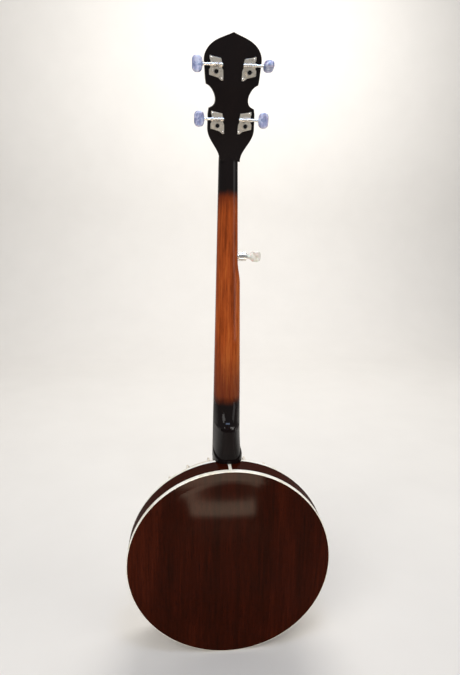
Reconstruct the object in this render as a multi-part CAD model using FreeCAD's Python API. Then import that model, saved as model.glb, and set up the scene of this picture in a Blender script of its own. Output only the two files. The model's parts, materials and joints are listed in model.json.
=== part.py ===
import FreeCAD, Part

# Five-string resonator banjo.  Lengths are millimetres.
# Seen from the front +X is to the right, +Z runs up the neck, and the head faces -Y.
# The origin is where a hanger's yoke carries the peghead.  Y = 0 is the glue plane
# between neck and fingerboard.  The pot's axis runs along Y.

import math
import os

os.makedirs("parts", exist_ok=True)

# ---------------------------------------------------------------- neck and fingerboard
SCALE_LENGTH = 666.75           # nut to bridge
NUT_Z = -25.0                   # fingerboard end of the nut
FRET_COUNT = 22
FINGERBOARD_THICK = 6.0
FINGERBOARD_PAST_LAST_FRET = 10.8
TREBLE_NUT_EDGE = 15.8
BASS_NUT_EDGE = 13.2
TREBLE_TAPER = 0.01668          # growth of the edge per millimetre below the nut
BASS_TAPER = 0.0140
FIFTH_STEP = 3.9                # extra bass-side width below the fifth string's peg
FIFTH_STEP_TOP = 152.0          # where the step starts and ends, below the nut
FIFTH_STEP_END = 188.0
NECK_DEPTH_NUT = 15.0
NECK_DEPTH_HEEL = 20.5
HEEL_SCOOP_ABOVE_END = 103.0    # where the shaft starts to sweep out to the heel
HEEL_NOSE_ABOVE_END = 51.0
HEEL_NOSE_DEPTH = 55.0
HEEL_NOSE_WIDTH = 31.0
HEEL_END_DEPTH = 60.0
HEEL_END_WIDTH = 46.0
HEEL_LIP_THICK = 5.0
HEEL_LIP_PROUD = 2.4
SCOOP_LEAD = 12.0               # the sides draw in this far before the scoop
NOSE_FINE = 8.0                 # closely spaced sections just above the nose
FRET_WIDTH = 2.7
FRET_HEIGHT = 1.1
FRET_TANG = 0.6
FRET_TANG_DEPTH = 1.8
FRET_INSET = 0.4
INLAY_RADIUS = 3.0
INLAY_DEPTH = 1.2
INLAY_FRETS = (3, 5, 7, 10, 15, 17, 19)
OCTAVE_FRET = 12
NUT_THICK = 5.0
NUT_TOP = -8.6                  # Y of the nut's top edge
NUT_SLOT_Y = -7.7
NUT_STRING_MARGIN = 3.2
FIFTH_PIP_FROM_NUT = 160.5
FIFTH_PIP_RADIUS = 1.5
PIP_SLOT_HEIGHT = 1.6           # of its slot's floor above the board
FIFTH_PIP_INSET = 2.2           # from the board's bass edge

# ---------------------------------------------------------------- peghead and tuners
PEGHEAD_ANGLE = 15.0            # degrees, tilted back
PEGHEAD_THICK = 14.0
OVERLAY_THICK = 1.6
PEG_HOLE_RADIUS = 4.6
UPPER_POST = (23.3, 118.8)      # half spacing and height along the peghead
LOWER_POST = (20.2, 49.7)
POST_RADIUS = 3.1
POST_HEIGHT = 14.0              # above the overlay
BUSHING_FLANGE_RADIUS = 6.0
BUSHING_FLANGE_THICK = 1.2
BUSHING_DEPTH = 8.0
PLATE_THICK = 1.0
GEAR_TEETH = 14
GEAR_MODULE = 0.8
GEAR_WIDTH = 3.2
COG_BORE = 2.0
COG_HUB = 3.9
COG_SCREW_HEAD = 3.0
WORM_PITCH_RADIUS = 2.9
WORM_HEIGHT = 4.9               # worm axis above the peghead's back
WORM_THREAD_LENGTH = 10.0
WORM_PHASE = 90.0               # degrees that turn a crest to face the gear
WORM_SHAFT_RADIUS = 1.6
TOOTH_ADDENDUM = 0.65
TOOTH_DEDENDUM = 0.95
TOOTH_SIDE_GAP = 0.14           # taken off each flank of gear and worm
TAB_GAP_HALF = 6.9              # inner face of each bearing tab
TAB_THICK = 1.0
TAB_HALF_WIDTH = 2.9
BUTTON_START = 18.8             # from the post's axis
BUTTON_LENGTH = 15.0
BUTTON_WIDTH = 21.6
BUTTON_THICK = 9.0
BUTTON_CORNER = 6.6
BUTTON_EDGE = 3.4
BUTTON_REST_TURN = 62.0         # degrees, on the upper bass-side button
SCREW_RADIUS = 1.0
SCREW_HEAD_RADIUS = 1.9
SCREW_LENGTH = 8.0
TRUSS_POCKET_WIDTH = 9.0
TRUSS_POCKET_END = 32.0
TRUSS_ROD_RADIUS = 2.5
TRUSS_ROD_Y = 7.5
TRUSS_ROD_END = 410.0           # below the nut
TRUSS_NUT_RADIUS = 3.6
TRUSS_NUT_LENGTH = 6.0
TRUSS_NUT_START = 11.0          # above the nut's fingerboard end
TRUSS_POCKET_DEPTH = 9.5
COVER_WIDTH = 24.0
COVER_HEIGHT = 34.0
COVER_PLATE = 1.5
COVER_SCREW_RADIUS = 0.8
COVER_FOOT = 6.2                # above the nut's fingerboard end

# ---------------------------------------------------------------- fifth-string peg
FIFTH_PEG_FROM_NUT = 145.5
FIFTH_PEG_Y = 2.0
FIFTH_BARREL_RADIUS = 7.5
FIFTH_BARREL_START = 16.8
FIFTH_BARREL_END = 28.8
FIFTH_BARREL_WALL = 0.9
FIFTH_SHANK_RADIUS = 4.0
FIFTH_SHANK_DEPTH = 9.0
FIFTH_GEAR_MODULE = 0.33
SUN_TEETH = 12
PLANET_TEETH = 12
RING_TEETH = SUN_TEETH + 2 * PLANET_TEETH
PLANET_COUNT = 3
FIFTH_GEAR_WIDTH = 2.4
FIFTH_SPOOL_RADIUS = 3.2
FIFTH_SPOOL_LENGTH = 3.8
FIFTH_BUTTON_START = 30.4
FIFTH_BUTTON_LENGTH = 21.9
FIFTH_BUTTON_WIDTH = 17.0
FIFTH_INPUT_RADIUS = 1.3
FIFTH_CARRIER_THICK = 1.2
FIFTH_SIDE_GAP = 0.03            # taken off each flank of the small gears
FIFTH_PIN_RADIUS = 0.7
FIFTH_CAP_THICK = 1.5
FIFTH_BUTTON_THICK = 9.0
BUTTON_BORE_DEPTH = 9.0          # of a shaft in its button

# ---------------------------------------------------------------- pot
BOARD_TO_HOOP = 5.55            # from the fingerboard's end to the tension hoop
HEAD_RADIUS = 139.7
HEAD_Y = 3.5                    # front face of the head
HEAD_THICK = 0.4
FILM_BEND = 0.9                 # the film turns down this far inside the rim's edge
FLESH_HOOP_WIDTH = 3.0
FLESH_HOOP_DEPTH = 3.5
FLESH_FRONT = 10.8
RIM_WALL = 12.6
RIM_BACK = 66.0
RIM_LIP = 2.4
TONE_RING_BACK = 16.0
HOOP_WALL = 4.7                 # of the tension hoop outside the flesh hoop
HOOP_FRONT = -1.0
HOOP_BACK = 14.0
HOOK_COUNT = 24
HOOK_FROM_HOOP = 3.5            # hook axes outside the tension hoop
HOOK_RADIUS = 2.0
HOOK_BEND = 2.6
HOOK_END_Y = 57.0
HOOK_GAP = 12.0                 # degrees from the neck's centre line to the first hook
NUT_AF_RADIUS = 3.7
NUT_LENGTH = 10.0
FLANGE_FRONT = 46.0
FLANGE_THICK = 3.0
SOUND_SLOT_WIDTH = 9.0
SOUND_SLOT_LENGTH = 14.0
SOUND_SLOT_FROM_HOOKS = 0.5
THUMB_FROM_RESONATOR = 8.5      # thumb screw axes inside the resonator's wall
THUMB_SHANK_RADIUS = 2.4
THUMB_HEAD_RADIUS = 5.5
THUMB_HEAD_LENGTH = 8.0
ROD_RADIUS = 3.2
ROD_HEX_RADIUS = 5.2
ROD_DEPTHS = (27.0, 55.0)       # Y of the two coordinator rods
LAG_RADIUS = 2.5
LAG_IN_HEEL = 28.0

# ---------------------------------------------------------------- resonator
RESONATOR_OVERHANG = 28.3       # outside the head's radius
RESONATOR_FRONT = 45.0
RESONATOR_BACK = 88.0
RESONATOR_WALL = 6.0
RESONATOR_PANEL = 5.0
RESONATOR_ARCH = 7.0            # rise of the back's middle
RESONATOR_FLAT = 14.0           # flat border inside the binding
BINDING_THICK = 1.5
BINDING_FRONT_WIDTH = 5.9
BINDING_BACK_WIDTH = 6.8
BINDING_EASE = 0.9              # broken corner of the back binding
JOINT_STRIP_WIDTH = 5.0
LUG_WIDTH = 16.0
LUG_DEPTH = 9.0

# ---------------------------------------------------------------- bridge, tailpiece, strings
BRIDGE_HEIGHT = 16.0
BRIDGE_LENGTH = 64.0
BRIDGE_FOOT_THICK = 6.0
BRIDGE_TOP_THICK = 2.6
BRIDGE_SPACING = 10.5
STRING_RADII = (0.14, 0.16, 0.20, 0.27, 0.14)   # first to fifth
TAIL_WIDTH = 27.0
TAIL_LENGTH = 53.0
TAIL_END_FROM_HOOKS = 2.5       # outside the hooks' circle
TAIL_Y = -6.5                   # back face of the tailpiece's floor
TAIL_THICK = 1.5
TAIL_COVER_RISE = 5.0
TAIL_PIN_RADIUS = 1.0
TAIL_EAR = 2.0
TAIL_HOOK_SPACING = 4.6
COVER_THICK = 1.2
ARMREST_ANGLE = 232.0
ARMREST_SPREAD = 46.0
ARMREST_WIDTH = 24.5
ARMREST_FROM_HOOP = 10.5        # outside the tension hoop
ARMREST_RISE = 9.0
ARMREST_THICK = 2.2
ARMREST_LEG = 8.0

# ---------------------------------------------------------------- clearances
SEAT_GAP = 0.05                 # a pressed, threaded or running part in its hole
MOVING_GAP = 0.3                # free air beside a moving part
PASS_GAP = 0.5                  # air around a part that passes through a wall

# ---------------------------------------------------------------- derived positions
BRIDGE_Z = NUT_Z - SCALE_LENGTH
LAST_FRET = SCALE_LENGTH * (1.0 - 2.0 ** (-FRET_COUNT / 12.0))
FINGERBOARD_LENGTH = LAST_FRET + FINGERBOARD_PAST_LAST_FRET
RIM_RADIUS = HEAD_RADIUS - 1.1
RIM_INNER = RIM_RADIUS - RIM_WALL
HEAD_SKIRT = RIM_RADIUS + 0.3
FLESH_INNER = HEAD_SKIRT + HEAD_THICK
FLESH_OUTER = FLESH_INNER + FLESH_HOOP_WIDTH
HOOP_RADIUS = FLESH_OUTER + HOOP_WALL
HOOK_CIRCLE = HOOP_RADIUS + HOOK_FROM_HOOP
SOUND_SLOT_CIRCLE = HOOK_CIRCLE + SOUND_SLOT_FROM_HOOKS
RESONATOR_RADIUS = HEAD_RADIUS + RESONATOR_OVERHANG
POT_FROM_NUT = FINGERBOARD_LENGTH + BOARD_TO_HOOP + HOOP_RADIUS
POT_Z = NUT_Z - POT_FROM_NUT
HEEL_END = POT_FROM_NUT - RESONATOR_RADIUS
HEEL_NOSE = HEEL_END - HEEL_NOSE_ABOVE_END
HEEL_SCOOP_TOP = HEEL_END - HEEL_SCOOP_ABOVE_END
FLANGE_BACK = FLANGE_FRONT + FLANGE_THICK
FLANGE_RADIUS = RESONATOR_RADIUS - RESONATOR_WALL - PASS_GAP
RESONATOR_INNER = RESONATOR_RADIUS - RESONATOR_WALL
THUMB_CIRCLE = RESONATOR_INNER - THUMB_FROM_RESONATOR
ARMREST_OUTER = HOOP_RADIUS + ARMREST_FROM_HOOP
ARMREST_INNER = ARMREST_OUTER - ARMREST_WIDTH
GEAR_PITCH_RADIUS = GEAR_TEETH * GEAR_MODULE / 2.0
WORM_PITCH = math.pi * GEAR_MODULE
WORM_OFFSET = GEAR_PITCH_RADIUS + WORM_PITCH_RADIUS
COG_BOTTOM = WORM_HEIGHT - GEAR_WIDTH / 2.0
COG_TOP = WORM_HEIGHT + GEAR_WIDTH / 2.0
FIFTH_CARRIER_START = FIFTH_BARREL_START + 1.0 + MOVING_GAP + FIFTH_SPOOL_LENGTH
FIFTH_GEARS_START = FIFTH_CARRIER_START + FIFTH_CARRIER_THICK + MOVING_GAP
FIFTH_GEARS_END = FIFTH_GEARS_START + FIFTH_GEAR_WIDTH
FIFTH_PLANET_CIRCLE = (SUN_TEETH + PLANET_TEETH) * FIFTH_GEAR_MODULE / 2.0
TAIL_END_Z = POT_Z - HOOK_CIRCLE - TAIL_END_FROM_HOOKS
TAIL_FRONT_Z = TAIL_END_Z + TAIL_LENGTH
TAIL_PIN_Y = TAIL_Y - TAIL_THICK - TAIL_COVER_RISE
TAIL_PIN_Z = TAIL_FRONT_Z - 8.0
BRIDGE_TOP = HEAD_Y - BRIDGE_HEIGHT
FIFTH_ADDENDUM = 0.8 * FIFTH_GEAR_MODULE
FIFTH_DEDENDUM = 1.05 * FIFTH_GEAR_MODULE

X_AXIS = FreeCAD.Vector(1, 0, 0)
Y_AXIS = FreeCAD.Vector(0, 1, 0)
Z_AXIS = FreeCAD.Vector(0, 0, 1)
ORIGIN = FreeCAD.Vector(0, 0, 0)


# ---------------------------------------------------------------- helpers
def vec(x, y, z):
    return FreeCAD.Vector(x, y, z)


def block(x0, x1, y0, y1, z0, z1):
    return Part.makeBox(x1 - x0, y1 - y0, z1 - z0, vec(x0, y0, z0))


def rod(start, end, radius):
    """Cylinder between two points."""
    span = end - start
    return Part.makeCylinder(radius, span.Length, start, span)


def rod_x(x0, x1, y, z, radius):
    return rod(vec(x0, y, z), vec(x1, y, z), radius)


def rod_y(x, y0, y1, z, radius):
    return rod(vec(x, y0, z), vec(x, y1, z), radius)


def rod_z(x, y, z0, z1, radius):
    return rod(vec(x, y, z0), vec(x, y, z1), radius)


def tube(start, end, outer, inner):
    return rod(start, end, outer).cut(rod(start, end, inner))


def prism(points, along):
    """Solid swept straight from a closed outline."""
    outline = Part.makePolygon(list(points) + [points[0]])
    return Part.Face(outline).extrude(along)


def fuse_all(shapes):
    return shapes[0].multiFuse(shapes[1:]).removeSplitter()


def cut_all(shape, tools):
    return shape.cut(list(tools)) if tools else shape


def pot_point(radius, angle, y):
    """Point about the pot's axis; the angle runs from the neck towards +X."""
    turn = math.radians(angle)
    return vec(radius * math.sin(turn), y, POT_Z + radius * math.cos(turn))


def pot_ring(profile):
    """Ring about the pot's axis from (radius, y) points."""
    points = [vec(radius, y, POT_Z) for radius, y in profile]
    outline = Part.makePolygon(points + [points[0]])
    return Part.Face(outline).revolve(vec(0, 0, POT_Z), Y_AXIS, 360)


def pot_tube(outer, inner, front, back):
    return pot_ring([(inner, front), (outer, front), (outer, back), (inner, back)])


def to_clock(shape, angle):
    """Copy a shape made at the neck side round the pot's axis."""
    turned = shape.copy()
    turned.rotate(vec(0, 0, POT_Z), Y_AXIS, angle)
    return turned


def write(node, shape):
    if isinstance(shape, (list, tuple)):
        shape = Part.makeCompound(shape)
    shape.exportStep("parts/" + node + ".step")


def below_nut(distance):
    return NUT_Z - distance


def hex_outline(radius, second, third, axis):
    """Hexagon across Z at (0, second) and height third, or across Y at depth second and height third."""
    points = []
    for corner in range(6):
        turn = math.radians(60.0 * corner)
        across, up = radius * math.cos(turn), radius * math.sin(turn)
        points.append(vec(across, second + up, third) if axis == Z_AXIS else vec(across, second, third + up))
    return points


# ---------------------------------------------------------------- neck outline
def smooth_step(value):
    value = min(max(value, 0.0), 1.0)
    return value * value * (3.0 - 2.0 * value)


def treble_edge(distance):
    """X of the treble edge at a distance below the nut."""
    return TREBLE_NUT_EDGE + TREBLE_TAPER * distance


def bass_edge(distance):
    step = smooth_step((distance - FIFTH_STEP_TOP) / (FIFTH_STEP_END - FIFTH_STEP_TOP))
    return -(BASS_NUT_EDGE + BASS_TAPER * distance + FIFTH_STEP * step)


def fret_distance(fret):
    return SCALE_LENGTH * (1.0 - 2.0 ** (-fret / 12.0))


def board_outline(y, start, end):
    """Closed outline of the board in the plane Y = y."""
    step_points = []
    step_count = 8
    for index in range(step_count + 1):
        share = index / step_count
        distance = FIFTH_STEP_TOP + (FIFTH_STEP_END - FIFTH_STEP_TOP) * share
        step_points.append(vec(bass_edge(distance), y, below_nut(distance)))
    curve = Part.BSplineCurve()
    curve.interpolate(step_points)
    corners = [
        vec(bass_edge(start), y, below_nut(start)),
        vec(treble_edge(start), y, below_nut(start)),
        vec(treble_edge(end), y, below_nut(end)),
        vec(bass_edge(end), y, below_nut(end)),
    ]
    edges = [
        Part.makeLine(step_points[0], corners[0]),
        Part.makeLine(corners[0], corners[1]),
        Part.makeLine(corners[1], corners[2]),
        Part.makeLine(corners[2], corners[3]),
        Part.makeLine(corners[3], step_points[-1]),
        curve.toShape(),
    ]
    return Part.Wire(Part.__sortEdges__(edges))


# ---------------------------------------------------------------- peghead frame
# x across, s up the peghead, f towards its front; f = 0 is the face under the overlay.
PEGHEAD = FreeCAD.Placement(vec(0, 0, NUT_Z), FreeCAD.Rotation(X_AXIS, 90.0 - PEGHEAD_ANGLE))


def on_peghead(shape):
    moved = shape.copy()
    moved.Placement = PEGHEAD.multiply(moved.Placement)
    return moved


def peghead_wire(f):
    """Outline with a pointed crown, rounded shoulders, scooped waist and flared foot."""
    right = [
        ("spline", [(0.0, 166.4), (16.5, 160.0), (27.5, 154.5), (35.0, 147.7), (39.2, 140.0), (40.2, 131.5)]),
        ("line", [(40.2, 131.5), (38.3, 110.0), (37.2, 103.2)]),
        ("spline", [(37.2, 103.2), (31.3, 99.8), (26.2, 93.0), (23.6, 85.0), (24.4, 79.0), (28.2, 74.6)]),
        ("line", [(28.2, 74.6), (32.8, 72.4), (34.0, 65.0), (34.3, 45.0)]),
        ("spline", [(34.3, 45.0), (31.2, 33.0), (24.0, 21.5), (17.6, 11.0), (15.2, 0.0)]),
    ]
    edges = []
    for side in (1, -1):
        for kind, points in right:
            placed = [vec(side * x, s, f) for x, s in points]
            if kind == "spline":
                curve = Part.BSplineCurve()
                curve.interpolate(placed)
                edges.append(curve.toShape())
            else:
                for start, end in zip(placed, placed[1:]):
                    edges.append(Part.makeLine(start, end))
    foot = right[-1][1][-1]
    edges.append(Part.makeLine(vec(-foot[0], foot[1], f), vec(foot[0], foot[1], f)))
    return Part.Wire(Part.__sortEdges__(edges))


def peghead_slab(front, back):
    """Slab of the peghead's outline between two f values."""
    return Part.Face(peghead_wire(front)).extrude(vec(0, 0, back - front))


# ---------------------------------------------------------------- neck
def neck_section(distance, depth, bass, treble, back_half, power):
    """Closed section across the neck: flat front at Y = 0 and a rounded back."""
    middle = (bass + treble) / 2.0
    half = (treble - bass) / 2.0
    points = []
    steps = 14
    for index in range(steps + 1):
        angle = math.pi * index / steps
        across = math.copysign(abs(math.cos(angle)) ** (2.0 / power), math.cos(angle))
        if index == steps // 2:
            across = 0.0
        drop = math.sin(angle) ** (2.0 / power) if 0 < index < steps else 0.0
        local_half = half + (back_half - half) * drop
        points.append(vec(middle * (1.0 - drop) + across * local_half, depth * drop, below_nut(distance)))
    curve = Part.BSplineCurve()
    curve.interpolate(points)
    return Part.Wire([curve.toShape(), Part.makeLine(points[-1], points[0])])


def scoop_depth(distance):
    """Depth of the neck's back as it sweeps out to the heel's nose."""
    share = (distance - HEEL_SCOOP_TOP) / (HEEL_NOSE - HEEL_SCOOP_TOP)
    share = min(max(share, 0.0), 1.0)
    rise = 1.0 - math.sqrt(max(1.0 - share * share, 0.0)) ** 0.8
    start = NECK_DEPTH_NUT + (NECK_DEPTH_HEEL - NECK_DEPTH_NUT) * min(distance / HEEL_SCOOP_TOP, 1.0)
    return start + (HEEL_NOSE_DEPTH - start) * rise


def spaced(start, end, count):
    """Evenly spaced stations from start up to, but not including, end."""
    return [start + (end - start) * index / count for index in range(count)]


def neck_station(distance):
    """Section of the neck and heel at a distance below the nut."""
    edge_at = min(max(distance, 0.0), FINGERBOARD_LENGTH)
    bass, treble = bass_edge(edge_at), treble_edge(edge_at)
    half = (treble - bass) / 2.0
    scoop_start = HEEL_SCOOP_TOP - SCOOP_LEAD
    narrow = smooth_step((distance - scoop_start) / (HEEL_NOSE - scoop_start))
    back_half = half + (HEEL_NOSE_WIDTH / 2.0 - half) * narrow
    power = 2.25 + 0.95 * narrow
    depth = scoop_depth(edge_at)
    if distance > HEEL_NOSE:
        share = min((distance - HEEL_NOSE) / (HEEL_END - HEEL_NOSE), 1.0)
        depth = HEEL_NOSE_DEPTH + (HEEL_END_DEPTH - HEEL_NOSE_DEPTH) * share
        back_half = (HEEL_NOSE_WIDTH + (HEEL_END_WIDTH - HEEL_NOSE_WIDTH) * share ** 1.6) / 2.0
    return neck_section(distance, depth, bass, treble, back_half, power)


def neck_solid():
    stations = spaced(-22.0, FIFTH_STEP_TOP, 5)
    stations += spaced(FIFTH_STEP_TOP, FIFTH_STEP_END, 9)
    stations += spaced(FIFTH_STEP_END, HEEL_SCOOP_TOP - SCOOP_LEAD, 3)
    stations += spaced(HEEL_SCOOP_TOP - SCOOP_LEAD, HEEL_NOSE - NOSE_FINE, 18)
    stations += spaced(HEEL_NOSE - NOSE_FINE, HEEL_NOSE, 8)
    stations += spaced(HEEL_NOSE, HEEL_END, 9)
    stations += [HEEL_END, HEEL_END + 44.0]
    shaft = Part.makeLoft([neck_station(distance) for distance in stations], True, True)

    bass, treble = bass_edge(HEEL_END), treble_edge(HEEL_END)
    lip_half = HEEL_END_WIDTH / 2.0 + HEEL_LIP_PROUD
    lip_depth = HEEL_END_DEPTH + HEEL_LIP_PROUD
    lip_sections = []
    for distance in (HEEL_END - HEEL_LIP_THICK, HEEL_END + 2.0):
        lip_sections.append(neck_section(distance, lip_depth, bass, treble, lip_half, 3.2))
    lip = Part.makeLoft(lip_sections, True, True)

    peghead = on_peghead(peghead_slab(0.0, -PEGHEAD_THICK))
    face_start = NUT_THICK / math.cos(math.radians(PEGHEAD_ANGLE))
    above_face = on_peghead(block(-60, 60, face_start, 60, 0, 40))
    body = shaft.fuse(lip).cut(above_face)
    return fuse_all([body, peghead])


def rim_cutters():
    """Everything at the heel's end that the pot takes up."""
    reach = 60.0
    hoop_room = pot_tube(HOOP_RADIUS + 1.5, 20.0, -reach, HOOP_BACK + 1.0)
    rim_room = pot_tube(RIM_RADIUS + SEAT_GAP, 20.0, 0, reach * 2)
    lip_room = pot_tube(RIM_RADIUS + RIM_LIP + PASS_GAP, 20.0, FLANGE_BACK, reach * 2)
    return [hoop_room, rim_room, lip_room]


# ---------------------------------------------------------------- fingerboard
def fret_slots():
    slots = []
    for fret in range(1, FRET_COUNT + 1):
        z = below_nut(fret_distance(fret))
        floor = -FINGERBOARD_THICK + FRET_TANG_DEPTH
        slots.append(block(-40, 40, -FINGERBOARD_THICK - 1, floor, z - FRET_TANG / 2, z + FRET_TANG / 2))
    return slots


def inlay_places():
    """Centre of each position dot."""
    places = []
    for fret in INLAY_FRETS:
        distance = (fret_distance(fret) + fret_distance(fret - 1)) / 2.0
        places.append(((bass_edge(distance) + treble_edge(distance)) / 2.0, distance))
    distance = (fret_distance(OCTAVE_FRET) + fret_distance(OCTAVE_FRET - 1)) / 2.0
    middle = (bass_edge(distance) + treble_edge(distance)) / 2.0
    pair = (treble_edge(distance) - bass_edge(distance)) / 4.0
    return places + [(middle - pair, distance), (middle + pair, distance)]


def inlay_discs(gap):
    discs = []
    for x, distance in inlay_places():
        front = vec(x, -FINGERBOARD_THICK, below_nut(distance))
        discs.append(rod(front, front + vec(0, INLAY_DEPTH + gap, 0), INLAY_RADIUS + gap))
    return discs


def fifth_pip_foot():
    x = bass_edge(FIFTH_PIP_FROM_NUT) + FIFTH_PIP_INSET
    return vec(x, -FINGERBOARD_THICK, below_nut(FIFTH_PIP_FROM_NUT))


def pip_hole():
    foot = fifth_pip_foot()
    return rod(foot, foot + vec(0, 3.0 + SEAT_GAP, 0), FIFTH_PIP_RADIUS / 2 + SEAT_GAP)


def fingerboard():
    board = Part.Face(board_outline(-FINGERBOARD_THICK, 0.0, FINGERBOARD_LENGTH))
    board = board.extrude(vec(0, FINGERBOARD_THICK, 0))
    return cut_all(board, fret_slots() + inlay_discs(SEAT_GAP) + [pip_hole()])


def fret_wire(fret):
    """Crowned bar with its tang, as long as the board is wide."""
    distance = fret_distance(fret)
    z = below_nut(distance)
    start = bass_edge(distance) + FRET_INSET
    length = treble_edge(distance) - FRET_INSET - start
    top = -FINGERBOARD_THICK - FRET_HEIGHT
    arc = Part.Arc(
        vec(start, -FINGERBOARD_THICK, z - FRET_WIDTH / 2),
        vec(start, top, z),
        vec(start, -FINGERBOARD_THICK, z + FRET_WIDTH / 2),
    ).toShape()
    foot = Part.makeLine(
        vec(start, -FINGERBOARD_THICK, z + FRET_WIDTH / 2), vec(start, -FINGERBOARD_THICK, z - FRET_WIDTH / 2)
    )
    crown = Part.Face(Part.Wire([arc, foot])).extrude(vec(length, 0, 0))
    half_tang = FRET_TANG / 2 - SEAT_GAP / 2
    tang_end = -FINGERBOARD_THICK + FRET_TANG_DEPTH - SEAT_GAP
    tang = block(start, start + length, -FINGERBOARD_THICK - 0.2, tang_end, z - half_tang, z + half_tang)
    return crown.fuse(tang).removeSplitter()


def nut_string_x(string):
    """X of strings one to four at the nut."""
    first = TREBLE_NUT_EDGE - NUT_STRING_MARGIN
    fourth = -BASS_NUT_EDGE + NUT_STRING_MARGIN
    return first + (fourth - first) * string / 3.0


def bridge_string_x(string):
    return (2 - string) * BRIDGE_SPACING


def nut_block():
    body = block(-BASS_NUT_EDGE, TREBLE_NUT_EDGE, NUT_TOP, 0, NUT_Z, NUT_Z + NUT_THICK)
    top = [edge for edge in body.Edges if edge.BoundBox.YMax < NUT_TOP + 0.01 and edge.BoundBox.XLength > 5]
    body = body.makeFillet(1.2, top)
    slots = []
    for string in range(4):
        x = nut_string_x(string)
        radius = STRING_RADII[string] + SEAT_GAP
        slots.append(rod_z(x, NUT_SLOT_Y, NUT_Z - 1, NUT_Z + NUT_THICK + 1, radius))
        slots.append(block(x - radius, x + radius, NUT_TOP - 1, NUT_SLOT_Y, NUT_Z - 1, NUT_Z + NUT_THICK + 1))
    return cut_all(body, slots)


def fifth_pip():
    """Little post that carries the fifth string at the fifth fret."""
    foot = fifth_pip_foot()
    head = rod(foot, foot + vec(0, -2.6, 0), FIFTH_PIP_RADIUS)
    stem = rod(foot + vec(0, -0.5, 0), foot + vec(0, 3.0, 0), FIFTH_PIP_RADIUS / 2)
    radius = STRING_RADII[4] + SEAT_GAP
    floor = foot.y - PIP_SLOT_HEIGHT - SEAT_GAP
    slot = block(foot.x - radius, foot.x + radius, foot.y - 3, floor, foot.z - 3, foot.z + 3)
    return head.fuse(stem).cut(slot).removeSplitter()


# ---------------------------------------------------------------- peghead pieces


def post_places():
    """Side, X and height along the peghead of each post, first string to fourth."""
    return [
        (1, LOWER_POST[0], LOWER_POST[1]),
        (1, UPPER_POST[0], UPPER_POST[1]),
        (-1, UPPER_POST[0], UPPER_POST[1]),
        (-1, LOWER_POST[0], LOWER_POST[1]),
    ]


def post_holes():
    holes = []
    for side, x, s in post_places():
        start = vec(side * x, s, -PEGHEAD_THICK - 5)
        holes.append(on_peghead(rod(start, vec(side * x, s, OVERLAY_THICK + 5), PEG_HOLE_RADIUS)))
    return holes


def truss_pocket():
    half = TRUSS_POCKET_WIDTH / 2.0
    return on_peghead(block(-half, half, 2.0, TRUSS_POCKET_END, -TRUSS_POCKET_DEPTH, OVERLAY_THICK + 3))


def truss_channel():
    half = TRUSS_ROD_RADIUS + SEAT_GAP
    end = below_nut(TRUSS_ROD_END) - 1.0
    channel = block(-half, half, 0, TRUSS_ROD_Y, end, NUT_Z + 8.0)
    round_floor = rod(vec(0, TRUSS_ROD_Y, end), vec(0, TRUSS_ROD_Y, NUT_Z + 12.0), half)
    return channel.fuse(round_floor)


def truss_rod():
    """Rod with its anchor block at the heel end and its adjusting nut in the pocket."""
    end = below_nut(TRUSS_ROD_END)
    nut_start = NUT_Z + TRUSS_NUT_START
    bar = rod_z(0, TRUSS_ROD_Y, end, nut_start + TRUSS_NUT_LENGTH + 1.0, TRUSS_ROD_RADIUS)
    anchor = block(-2.4, 2.4, 0.6, TRUSS_ROD_Y, end, end + 12.0)
    hexagon = hex_outline(TRUSS_NUT_RADIUS, TRUSS_ROD_Y, nut_start, Z_AXIS)
    return fuse_all([bar, anchor, prism(hexagon, vec(0, 0, TRUSS_NUT_LENGTH))])


def overlay():
    """Thin veneer on the peghead's face, starting above the nut."""
    slab = peghead_slab(0.0, OVERLAY_THICK)
    start = NUT_THICK / math.cos(math.radians(PEGHEAD_ANGLE)) + 0.5
    slab = slab.cut(block(-60, 60, -20, start, -5, 10))
    return cut_all(on_peghead(slab), post_holes() + [truss_pocket()] + cover_screw_holes(OVERLAY_THICK))


def cover_outline(f):
    """Bell-shaped plate over the truss rod's pocket."""
    half = COVER_WIDTH / 2.0
    base = COVER_FOOT
    hip = (half * 0.62, base + COVER_HEIGHT * 0.45)
    shoulder = (half * 0.36, base + COVER_HEIGHT * 0.82)
    right = Part.Arc(vec(half, base, f), vec(hip[0], hip[1], f), vec(shoulder[0], shoulder[1], f))
    left = Part.Arc(vec(-shoulder[0], shoulder[1], f), vec(-hip[0], hip[1], f), vec(-half, base, f))
    crown = Part.Arc(
        vec(shoulder[0], shoulder[1], f), vec(0, base + COVER_HEIGHT, f), vec(-shoulder[0], shoulder[1], f)
    )
    foot = Part.makeLine(vec(-half, base, f), vec(half, base, f))
    return Part.Wire(Part.__sortEdges__([right.toShape(), crown.toShape(), left.toShape(), foot]))


def cover_screw_spots():
    return [(-8.6, 8.8), (8.6, 8.8), (0.0, COVER_FOOT + COVER_HEIGHT - 3.6)]


def cover_screw_holes(top):
    holes = []
    for x, s in cover_screw_spots():
        holes.append(on_peghead(rod_z(x, s, -6.0, top + 3, COVER_SCREW_RADIUS + SEAT_GAP)))
    return holes


def truss_rod_cover():
    plate = Part.Face(cover_outline(OVERLAY_THICK)).extrude(vec(0, 0, COVER_PLATE))
    return cut_all(on_peghead(plate), cover_screw_holes(OVERLAY_THICK + COVER_PLATE))


def cover_screws():
    screws = []
    top = OVERLAY_THICK + COVER_PLATE
    for x, s in cover_screw_spots():
        dome = Part.makeSphere(1.7, vec(x, s, top - 0.6))
        dome = dome.common(block(x - 3, x + 3, s - 3, s + 3, top, top + 3))
        slot = block(x - 3, x + 3, s - 0.2, s + 0.2, top + 0.7, top + 3)
        shank = rod_z(x, s, -5.5, top, COVER_SCREW_RADIUS)
        screws.append(on_peghead(dome.cut(slot).fuse(shank).removeSplitter()))
    return screws


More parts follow.
